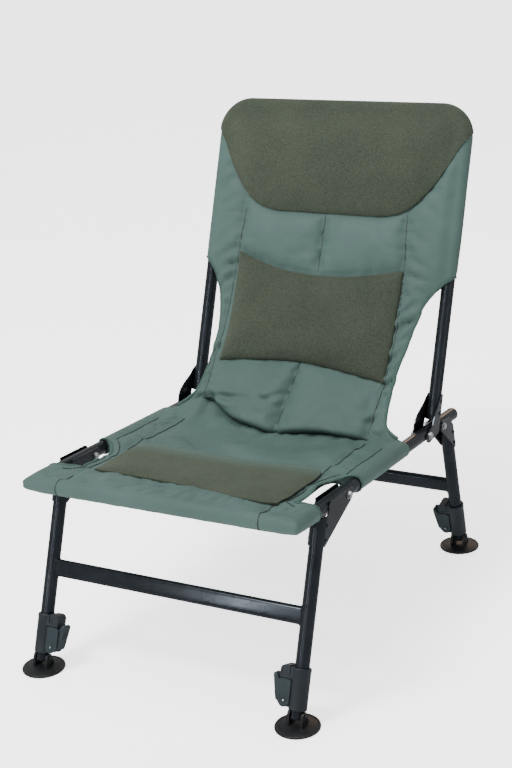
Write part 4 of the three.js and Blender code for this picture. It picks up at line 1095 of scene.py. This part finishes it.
def back_grid():
    """Places across and up the cloth, closer together where it turns over the tube."""
    cols = sleeve_columns(8)
    xs, us = [], []
    for t in np.linspace(0, 1, 20)[:-1]:
        x = cols * by_side(cols, LEVEL + (t - 1) * 83, WAIST)
        xs.append(x)
        us.append(table(CREASE, x) * (1 - t) + LEVEL * t)
    for u in np.arange(LEVEL, CORNER[1] - 2, 5.4):
        xs.append(cols * by_side(cols, u, WAIST))
        us.append(np.full_like(cols, u))
    for a in np.linspace(0, pi / 2, 24):
        xs.append(cols * (CORNER[0] + CORNER_R * cos(a)))
        us.append(np.full_like(cols, CORNER[1] + CORNER_R * sin(a)))
    return np.array(xs), np.array(us)


def wrap_profile(rim, radius):
    return np.sqrt(np.maximum(radius**2 - np.maximum(rim, 0) ** 2, 0))


def back_layers():
    """The front and the rear of the cloth, as how far each stands proud."""
    x, u = back_grid()
    half = row_half(x)
    rim = back_rim(x, u)
    base = base_proud(x, u)
    seam = side_seam(x, u)
    relief = back_fields(x, u, half) + FOLD_DEPTH * back_folds(x, u)
    front = base + relief * smooth(-rim / 14)
    # The bottom of the quilted fields is tucked under, where they meet the seat
    depth = u - table(CREASE, x)
    t = np.clip(1 - depth / TUCK, 0, 1)
    centre = smooth((seam + 4 - np.abs(x)) / 14)
    tuck = TUCK * (1 - np.sqrt(1 - t**2)) * centre
    front = front - tuck - 3 * smooth(1 - depth / 14) * (1 - centre)
    front = np.where(rim > 0, wrap_profile(rim, SLEEVE_R), front)
    edge = smooth((half - np.abs(x)) / 16)
    thick = 3.6 + 6.4 * edge * smooth((seam + 10 - np.abs(x)) / 24) + 1.4 * edge
    rear = base - thick - 1.6 * (1 - np.exp(-np.abs(np.abs(x) - seam) / 12)) * edge
    rear -= tuck * 0.25
    sleeve = smooth((u - 205) / 20)
    behind = -SLEEVE_R + (rear + SLEEVE_R) * smooth(-rim / 32)
    rear = rear * (1 - sleeve) + behind * sleeve
    return x, u, front, np.where(rim > 0, -wrap_profile(rim, SLEEVE_R), rear)


def as_points(x, u, proud):
    return np.stack([x, -proud, u], axis=-1)


def settle_back(x, u, front):
    seam = side_seam(x, u)
    to_seam = np.abs(np.abs(x) - seam)
    inside = np.abs(x) < seam
    middle = (np.abs(x - np.where(u > MIDDLE_TURN, MIDDLE_SEAM, 0)) < 3.1) & inside
    lumbar = (u < lumbar_top(x) + 2) & (u > lumbar_low(x) - 2) & inside
    pads = lumbar | (u > head_low(x) - 1)
    edge = (row_half(x) - np.abs(x) < 5) | (back_rim(x, u) > -12) | (u < table(CREASE, x) + 9)
    # The settled folds are kept near the seams, and the fields' middles stay full
    near = np.minimum(to_seam, np.where(inside, np.abs(x + 3), 99)).reshape(-1, 1)
    keep = 0.35 + 0.65 * np.exp(-near / 26)
    held = (to_seam < 2.6) | middle | pads | edge
    return settled(as_points(x, u, front), held, 3.0, 0.03, 22, 6.0, keep)


def bends(ob):
    """Bakes the piece's place into its mesh."""
    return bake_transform(ob)


bx, bu, b_front, b_rear = back_layers()
b_points = settle_back(bx, bu, b_front)
# Behind the uprights the rear layer ends a little further in, up to the sleeves' mouths
mouth = smooth((bu - 185) / 25) * smooth((268 - bu) / 12)
b_back = as_points(bx * (1 - 0.045 * mouth), bu, b_rear)
form = shell(b_points, b_back, rim=0.35)
back_cloth = show("quilted_back_cloth", BACK, form, None, CLOTH,
                  ["back_cover", "lower_back_panel"], uv=form[0][:, (0, 2)], weld=0.05, sharp=70)
bends(back_cloth)


# ---------------------------------------------------------------- fleece pads
PILE = 2.4  # how far the fleece stands off the cloth


def head_pad():
    """The fleece over the top of the back, which wraps round the tube with the cloth."""
    us = [HEAD_BOTTOM, 351.5, 352.6, 354.2, 356.5, 359.5, 363.5, 368.5, 375]
    us += list(np.linspace(382, 486, 19))
    rows = [(u, table(HEAD_HALF, u)) for u in us]
    r = CORNER_R + PILE
    for a in np.linspace(0, pi / 2, 24):
        u, half = CORNER[1] + r * sin(a), CORNER[0] + r * cos(a)
        rows.append((u, min(half, float(table(HEAD_HALF, u))) if u < 505 else half))
    cols = crowded(71, 0.93)
    u = np.array([[r[0]] * len(cols) for r in rows])
    x = np.array([cols * r[1] for r in rows])
    half = np.array([[r[1]] for r in rows])
    rim = back_rim(x, u)
    base = base_proud(x, u)
    side = (half - np.abs(x)) * 0.85 + 40 * smooth((u - 470) / 60)
    gaps = [side, u - head_low(x), np.maximum(560 - u, 4)]
    lift = crown_at(gaps, 19.0, 62, 0.7) * smooth(-rim / 80 + 0.1)
    lift += 1.0 * ripple(x + 0.4 * u, 23, 90) * smooth(side / 40)
    shape = base + PILE + 1.6 + lift
    swell = 1 + PILE / SLEEVE_R
    mix = smooth(-rim / 30)
    front = np.where(rim > 0, wrap_profile(rim / swell, SLEEVE_R) * swell,
                     (SLEEVE_R + PILE) * (1 - mix) + shape * mix)
    under = np.where(rim > 0, wrap_profile(rim, SLEEVE_R + 0.3), base + 0.9)
    under = np.minimum(under, front - 0.4)
    inner_x = np.sign(x) * np.minimum(np.abs(x), half - 0.9)
    inner_u = u - (u > 545) * 1.4
    return shell(as_points(x, u, front), as_points(inner_x, inner_u, under))


def lumbar_pad():
    across, up = np.meshgrid(crowded(57), (crowded(41) + 1) / 2)
    reach = np.where(across < 0, table([(0, 156), (0.5, 162), (1, 168)], up),
                     table([(0, 166), (0.5, 159), (1, 156)], up))
    x = across * (reach - 1.5)
    low, high = lumbar_low(x) + 1.5, lumbar_top(x) - 1.5
    u = low + (high - low) * up
    base = base_proud(x, u)
    gaps = [reach - np.abs(x) - 1.2, u - low, high - u]
    lift = 3.2 + crown_at(gaps, 17.0, 44, 0.62)
    lift = lift + 0.8 * ripple(u - 0.5 * x, 31, 80) * smooth(gaps[0] / 30)
    return shell(as_points(x, u, base + lift), as_points(x, u, base + 1.2))


ob = show("head_rest_pad", BACK, head_pad(), "backrest", FLEECE, ["head_pad"], weld=0.05, sharp=60)
ob = show("lumbar_rest_pad", BACK, lumbar_pad(), None, FLEECE, ["lumbar_pad"], weld=0.05, sharp=60)
bends(ob)


# ---------------------------------------------------------------- the seat
# In the seat's frame: x across, s back from the front tube's axis, n up from the rails' plane
SEAT_SEAM = 174.0
SLEEVE_SEAM = 212.0
SEAM_BLEND = 4  # the seam runs out sideways by this towards the front tube
CUT_LOW, CUT_HIGH, CUT_IN = 60.0, 204.0, 193.0  # the cut-outs round the front brackets
TIP_R = 9.0
PAD_FRONT = [(-160, 70), (-142, 68), (-84, 75), (-21, 71), (42, 63), (110, 47), (153, 41),
             (180, 45)]
PAD_REAR = 240.0


def seat_level(x, s):
    across = 1 - np.minimum(1, np.abs(x) / HALF) ** 2
    dip = np.sin(np.clip(s / 190, 0, 1) * pi / 2)
    # Between the sleeves the cut-outs' free edges hang a little lower
    slack = smooth((s - 62) / 26) * smooth((206 - s) / 34)
    slack = slack * np.exp(-(((np.abs(x) - 196) / 26) ** 2))
    return SLEEVE_R - 14 * across * dip - 4.5 * slack


def crease_on_seat(x):
    """Where the back cloth's lower edge comes down, along and above the rails' plane."""
    u = table(CREASE, x)
    p = base_proud(x, u) - 14 * smooth((side_seam(x, u) + 4 - np.abs(x)) / 14)
    along = BACK_AT - p * cos(BACK_SKEW) + u * sin(BACK_SKEW)
    return along, p * sin(BACK_SKEW) + u * cos(BACK_SKEW)


def seat_end(x):
    out = smooth((np.abs(x) - 212) / 14)
    return (crease_on_seat(x)[0] + 5) * (1 - out) + np.where(x < 0, 398, 386) * out


def seat_lip(x, s):
    """The seat's rear edge rises behind the back cloth."""
    along, above = crease_on_seat(x)
    rise = np.maximum(above - seat_level(x, along) + 1.5, 0) * smooth((236 - np.abs(x)) / 20)
    return rise * np.clip((s - along + 62) / 67, 0, 1.05) ** 2


def seat_rim(x, s):
    """How far a place lies outside the tube's centre line, and how far the cloth's edge does."""
    cx, cs = np.abs(x) - (HALF - SEAT_CORNER_R), SEAT_CORNER_R - s
    corner = (cx > 0) & (cs > 0)
    span = np.hypot(np.maximum(cx, 1e-6), np.maximum(cs, 1e-6))
    rim = np.where(corner, span - SEAT_CORNER_R, np.maximum(np.abs(x) - HALF, -s))
    # Towards a corner the cloth's edge stands further out from the tube
    full = SEAT_CORNER_R + SLEEVE_R
    steep = np.maximum(np.abs(cx), np.abs(cs)) / np.maximum(span, 1e-6)
    to_edge = np.minimum(full / np.maximum(steep, 0.5), full * 1.36) - SEAT_CORNER_R
    return rim, np.where(corner, to_edge, SLEEVE_R)


def pad_front(x):
    return table(PAD_FRONT, x)


def seam_shift(s):
    return SEAM_BLEND * smooth((20 - s) / 40)


def seat_grid():
    """Places across and along the cloth, from the front tube to the crease."""
    cols = sleeve_columns(9)
    rows = [-SLEEVE_R * sin(a) for a in np.linspace(pi / 2, 0, 10)]
    rows += list(np.arange(5, 236, 5.5))
    x, s = [], []
    for v in rows:
        half = HALF + SLEEVE_R
        short = -SLEEVE_R + TIP_R - v
        if short > 0:
            half -= TIP_R - sqrt(max(TIP_R**2 - short**2, 0))
        x.append(cols * half)
        s.append(np.full(len(cols), v))
    wide = cols * (HALF + SLEEVE_R)
    for t in np.linspace(0, 1, 32)[1:]:
        x.append(wide)
        s.append(rows[-1] + (seat_end(wide) - rows[-1]) * t)
    return np.array(x), np.array(s)


def seat_layers():
    """The top and the underside of the seat cloth."""
    x, s = seat_grid()
    rim, reach = seat_rim(x, s)
    seam = np.abs(np.abs(x) - SEAT_SEAM - seam_shift(s))
    hem = np.where(s > CUT_HIGH, np.abs(np.abs(x) - SLEEVE_SEAM), NOT_NEAR)
    lift = 2.2 * (1 - np.exp(-np.minimum(seam, hem) / 9))
    lift = lift + 0.7 * np.exp(-seam / 9) * ripple(s, 41, 21)
    lift += 0.6 * np.exp(-hem / 7) * ripple(s, 43, 16)
    lift += 1.0 * ripple(x * 0.6 + s, 47, 120) * smooth((340 - s) / 60)
    # Creases that fan out from the front corners
    tight = np.exp(-np.hypot(np.abs(x) - 232, s + 6) / 22)
    fan = np.degrees(np.arctan2(s + 2, HALF - np.abs(x) + 1))
    lift += 1.6 * tight * ripple(fan, 53, 26)
    level = seat_level(x, s) + seat_lip(x, s)
    # Under the pad the cloth lies flat
    under = smooth((184 - np.abs(x)) / 12) * smooth((s - pad_front(x) + 4) / 10)
    under = under * smooth((250 - s) / 14)
    top = level + (lift - 1.2) * (1 - under) * smooth(-rim / 16)
    wrap = SLEEVE_R * np.sqrt(np.maximum(1 - (np.maximum(rim, 0) / reach) ** 2, 0))
    top = np.where(rim > 0, wrap, top)
    low = -SLEEVE_R + (top - 2.0 + SLEEVE_R) * smooth(-rim / 34)
    low = np.where(rim > 0, -top, low)
    wavy = ripple(np.where(np.abs(x) > HALF - 8, s, x), 59, 46) * smooth((30 - s) / 20)
    wavy = 0.5 * np.exp(-np.abs(-rim - 3) / 12) * wavy * (rim > -20) * (rim < 8)
    return x, s, top, low + wavy


def settle_seat(x, s, top):
    seam = np.abs(np.abs(x) - SEAT_SEAM) < 2.6
    hem = (np.abs(np.abs(x) - SLEEVE_SEAM) < 2.6) & (s > CUT_HIGH)
    pad = (np.abs(x) < 165) & (s > pad_front(x) + 3) & (s < 228)
    held = seam | hem | pad | (seat_rim(x, s)[0] > -3) | (s > seat_end(x) - 6)
    return settled(np.stack([x, s, top], axis=-1), held, 0.5, 0.02, 18, 4.0)


def cut_outline(sign, out=0.0, far=262.0):
    """Plan outline of a bound cut-out round a front bracket."""
    inn, low, high = CUT_IN - out, CUT_LOW - out, CUT_HIGH + out
    r_rear, r_front = 50 + out, 20 + out
    line = [(far, high)] + arc((inn + r_rear, high - r_rear), r_rear, 90, 180, 12)
    line += arc((inn + r_front, low + r_front), r_front, 180, 270, 8) + [(far, low)]
    return [(sign * a, b) for a, b in line]


sx, ss, s_top, s_low = seat_layers()
s_points = settle_seat(sx, ss, s_top)
s_under = np.stack([sx, ss, s_low], axis=-1)
welded = mesh_of("welded", Matrix.Identity(4), *shell(s_points, s_under, rim=0.3), weld=0.05)
cloth = [tuple(v.co / MM) for v in welded.vertices], [tuple(p.vertices) for p in welded.polygons]
bpy.data.meshes.remove(welded)
for _, sign in SIDES:
    cloth = carve(cloth, (CUT, prism(cut_outline(sign), -40, 40, "XY")))
seat_cloth = show("seat_cloth", SEAT, cloth, "seat_frame", CLOTH, ["seat_cover"],
                  uv=np.array(cloth[0])[:, (0, 1)], weld=0.02, sharp=60)
seat_tree = BVHTree.FromPolygons([Vector(p) for p in cloth[0]], cloth[1])


def on_cloth(x, s):
    """Points half a millimetre above the finished seat cloth, at places in plan."""
    out = []
    for a, b, n in zip(x, s, read_grid(sx, ss, s_points[..., 2], x, s)):
        hit = seat_tree.ray_cast(Vector((a, b, 40)), Vector((0, 0, -1)))[0]
        out.append((a, b, (n if hit is None else hit.z) + 0.5))
    return out


# ---------------------------------------------------------------- bindings
for side, sign in SIDES:
    x, s = dense(cut_outline(sign, out=0.4, far=HALF + SLEEVE_R), 4.0).T
    tops = read_grid(sx, ss, s_points[..., 2], x, s) + 0.2
    lows = read_grid(sx, ss, s_low, x, s) - 0.2
    loop = list(zip(x, s, tops)) + list(zip(x, s, lows))[::-1]
    loop.append(loop[0])
    # On the sleeve the tape stands off the rail's axis, and elsewhere it lies flat
    ups = [(a - sign * HALF, 0, n) if abs(a) > 214 else (0, 0, 1 if n > -6 else -1)
           for a, _, n in loop]
    show(f"seat_cutout_binding_{side}", SEAT, ribbon(loop, ups, 2.9, 1.1), "seat_frame", BINDING,
         sharp=70)

PART_LOW, PART_HIGH = 184, 200  # where the back's binding parts in two
for side, sign in SIDES:
    col = -1 if sign > 0 else 0
    stop = int(np.searchsorted(bu[:, col], MOUTH_AT))
    front_lip, rear_lip = b_points[1:stop, col], b_back[1:stop, col]
    edge = front_lip * 0.62 + rear_lip * 0.38
    parts = [ribbon(dense(edge[edge[:, 2] < PART_HIGH], 5.0), [(0, -1, 0)], 3.4, 2.9)]
    # Above, it runs round the sleeve's mouth
    for lip in (front_lip, rear_lip):
        lip = edge + (lip - edge) * smooth((edge[:, 2:] - PART_LOW) / 14)
        line = dense(lip[edge[:, 2] > PART_LOW], 4.0)
        parts.append(ribbon(line, [(sign, -1, 0)], 2.2, 1.7))
    bends(show(f"back_edge_binding_{side}", BACK, merged(*parts), None, BINDING, sharp=70))


# ---------------------------------------------------------------- stitching
def back_line(xs, first, last):
    """A seam up the back cloth; xs gives its x at each u."""
    u = np.arange(first, last, 4.0)
    x = np.array([xs(v) for v in u], float)
    y = read_grid(bx, bu, b_points[..., 1], x, u) - 0.1
    return list(zip(x, y, u))


lines = [
    back_line(lambda u: -float(side_seam(-1.0, u)), -20, 356),
    back_line(lambda u: float(side_seam(1.0, u)), -20, 362),
    back_line(lambda u: MIDDLE_SEAM, 246, 350),
    back_line(lambda u: 0.0, -26, 83),
]
bends(show("back_stitching", BACK, stitches(lines), None, THREAD, sharp=60))

lines = []
# The seat's seams: x, and from and to which s. The pair at the sleeves follow
seams = [(SEAT_SEAM, -12, 372), (-SEAT_SEAM, -12, 34), (-SEAT_SEAM, 186, 372)]
for at, first, last in seams:
    s = np.arange(first, last, 4.0)
    x = at + np.sign(at) * seam_shift(s)
    line = on_cloth(x, s)
    if first < 0:
        # Down the front of the sleeve
        r = SLEEVE_R + 0.3
        turns = np.radians(range(148, 70, -12))
        line = [(x[0], -r * sin(a), r * cos(a)) for a in turns] + line
    lines.append(line)
for _, sign in SIDES:
    s = np.arange(CUT_HIGH + 8, 352, 4.0)
    lines.append(on_cloth(np.full_like(s, sign * SLEEVE_SEAM), s))
for _, sign in SIDES:
    hem = [p for p in cut_outline(sign, out=13.0) if abs(p[0]) < 209]
    lines.append(on_cloth(*dense(hem, 4.0).T))
show("seat_stitching", SEAT, stitches(lines), "seat_frame", THREAD, sharp=60)


# ---------------------------------------------------------------- the seat's pad
def seat_pad():
    """Fleece on the seat, full at the front and fading into the canvas at the rear."""
    across, along = np.meshgrid(crowded(61), (crowded(41) + 1) / 2)
    widen = smooth(along * 2)
    half = np.where(across < 0, 160 + 8 * widen, 179 - 4 * widen)
    round_ = np.maximum(along - 0.72, 0) / 0.28
    half = half * (1 - 0.3 * (1 - np.sqrt(np.maximum(1 - round_**2, 0))))
    x = across * half
    front = pad_front(x)
    s = front + (PAD_REAR - front) * along
    level = seat_level(x, s)
    gaps = [half - np.abs(x) + 0.5, (s - front) * 1.7 + 0.5, (PAD_REAR - s) * 0.8]
    lift = 1.6 + crown_at(gaps, 9.0, 62, 0.9)
    lift = lift * (1 - 0.85 * smooth((s - PAD_REAR + 40) / 40))
    lift += 0.7 * ripple(x + 0.3 * s, 61, 80) * smooth(gaps[0] / 30)
    layers = [np.stack([x, s, level + n], axis=-1) for n in (lift + 0.6, -0.4)]
    return shell(*layers)


ob = show("seat_rest_pad", SEAT, seat_pad(), "seat_frame", FLEECE_FADED, ["seat_pad"],
          weld=0.05, sharp=60)


# ---------------------------------------------------------------- camera, floor and light
CAMERA_AT = (1.2106, -2.1311, 1.2762)
CAMERA_YAW, CAMERA_PITCH, CAMERA_ROLL = (radians(v) for v in (29.67, 19.87, -3.96))
FOCAL_LENGTH = 74.11
SWEEP_AT, SWEEP_R, SWEEP_HALF, SWEEP_TOP = 3.0, 2.0, 7.0, 6.0


def camera():
    data = bpy.data.cameras.new("camera")
    data.lens, data.sensor_width, data.sensor_fit = FOCAL_LENGTH, 36.0, "AUTO"
    ob = add_object("camera", data)
    yaw, pitch, roll = CAMERA_YAW, CAMERA_PITCH, CAMERA_ROLL
    back = Vector((sin(yaw) * cos(pitch), -cos(yaw) * cos(pitch), sin(pitch)))
    right = (-back).cross(Vector((0, 0, 1))).normalized()
    up = right.cross(-back)
    x = right * cos(roll) + up * sin(roll)
    y = up * cos(roll) - right * sin(roll)
    rot = Matrix((x, y, back)).transposed()
    ob.matrix_world = Matrix.Translation(CAMERA_AT) @ rot.to_4x4()
    bpy.context.scene.camera = ob


def area_light(name, at, target, size, power, color=(1, 1, 1)):
    data = bpy.data.lights.new(name, "AREA")
    data.shape, data.energy, data.color = "RECTANGLE", power, color
    data.size, data.size_y = size
    ob = add_object(name, data)
    way = (Vector(target) - Vector(at)).normalized()
    ob.matrix_world = Matrix.Translation(at) @ way.to_track_quat("-Z", "Y").to_matrix().to_4x4()


def studio():
    """A pale sweep: floor that curves up into a back wall far behind the chair."""
    profile = [(-6.0, 0.0), (SWEEP_AT, 0.0)]
    profile += [(SWEEP_AT + SWEEP_R * sin(a), SWEEP_R - SWEEP_R * cos(a))
                for a in np.linspace(0.1, pi / 2, 12)]
    profile += [(SWEEP_AT + SWEEP_R, SWEEP_TOP)]
    c, s = cos(CAMERA_YAW), sin(CAMERA_YAW)
    points = [
        (across * c - y * s, across * s + y * c, z)
        for across in (-SWEEP_HALF, SWEEP_HALF)
        for y, z in profile
    ]
    n = len(profile)
    me = bpy.data.meshes.new("floor")
    me.from_pydata(points, [], [(i, i + 1, n + i + 1, n + i) for i in range(n - 1)])
    me.polygons.foreach_set("use_smooth", [True] * len(me.polygons))
    paper = Shader("studio_paper", srgb(236, 236, 236), 0.9, Specular_IOR_Level=0.1)
    paper.mix(paper.ramp(paper.noise(1.3, 2), 0.3, 0.7), srgb(243, 243, 243), srgb(246, 246, 246))
    paper.set("Emission Color", (1, 1, 1, 1))
    paper.set("Emission Strength", 1.9)
    me.materials.append(paper.mat)
    ob = add_object("floor", me)
    ob.visible_glossy = False  # a bright floor mirrored in the tubes would turn them grey
    world = bpy.data.worlds.new("studio")
    world.use_nodes = True
    background = world.node_tree.nodes["Background"]
    background.inputs["Color"].default_value = (1, 1, 1, 1)
    background.inputs["Strength"].default_value = 0.55
    bpy.context.scene.world = world


camera()
studio()
area_light("key", (-0.9, -1.5, 3.1), (0, 0, 0.4), (0.9, 1.2), 126)
area_light("overhead", (-0.1, 0.0, 3.2), (0, 0, 0), (1.4, 1.4), 58)
# Narrow strips draw the streaks of light on the tubes
area_light("streak_left", (-1.1, -2.6, 1.3), (0, 0, 0.45), (0.05, 1.7), 17)
area_light("streak_front", (0.1, -3.0, 1.3), (0, 0, 0.45), (0.04, 1.7), 11)
area_light("strip_right", (2.6, -0.5, 1.2), (0, 0.1, 0.5), (0.08, 1.8), 6)
area_light("warm_card", (-0.4, 2.3, 1.2), (0, 0.1, 0.3), (1.2, 0.4), 5, (1.0, 0.6, 0.36))
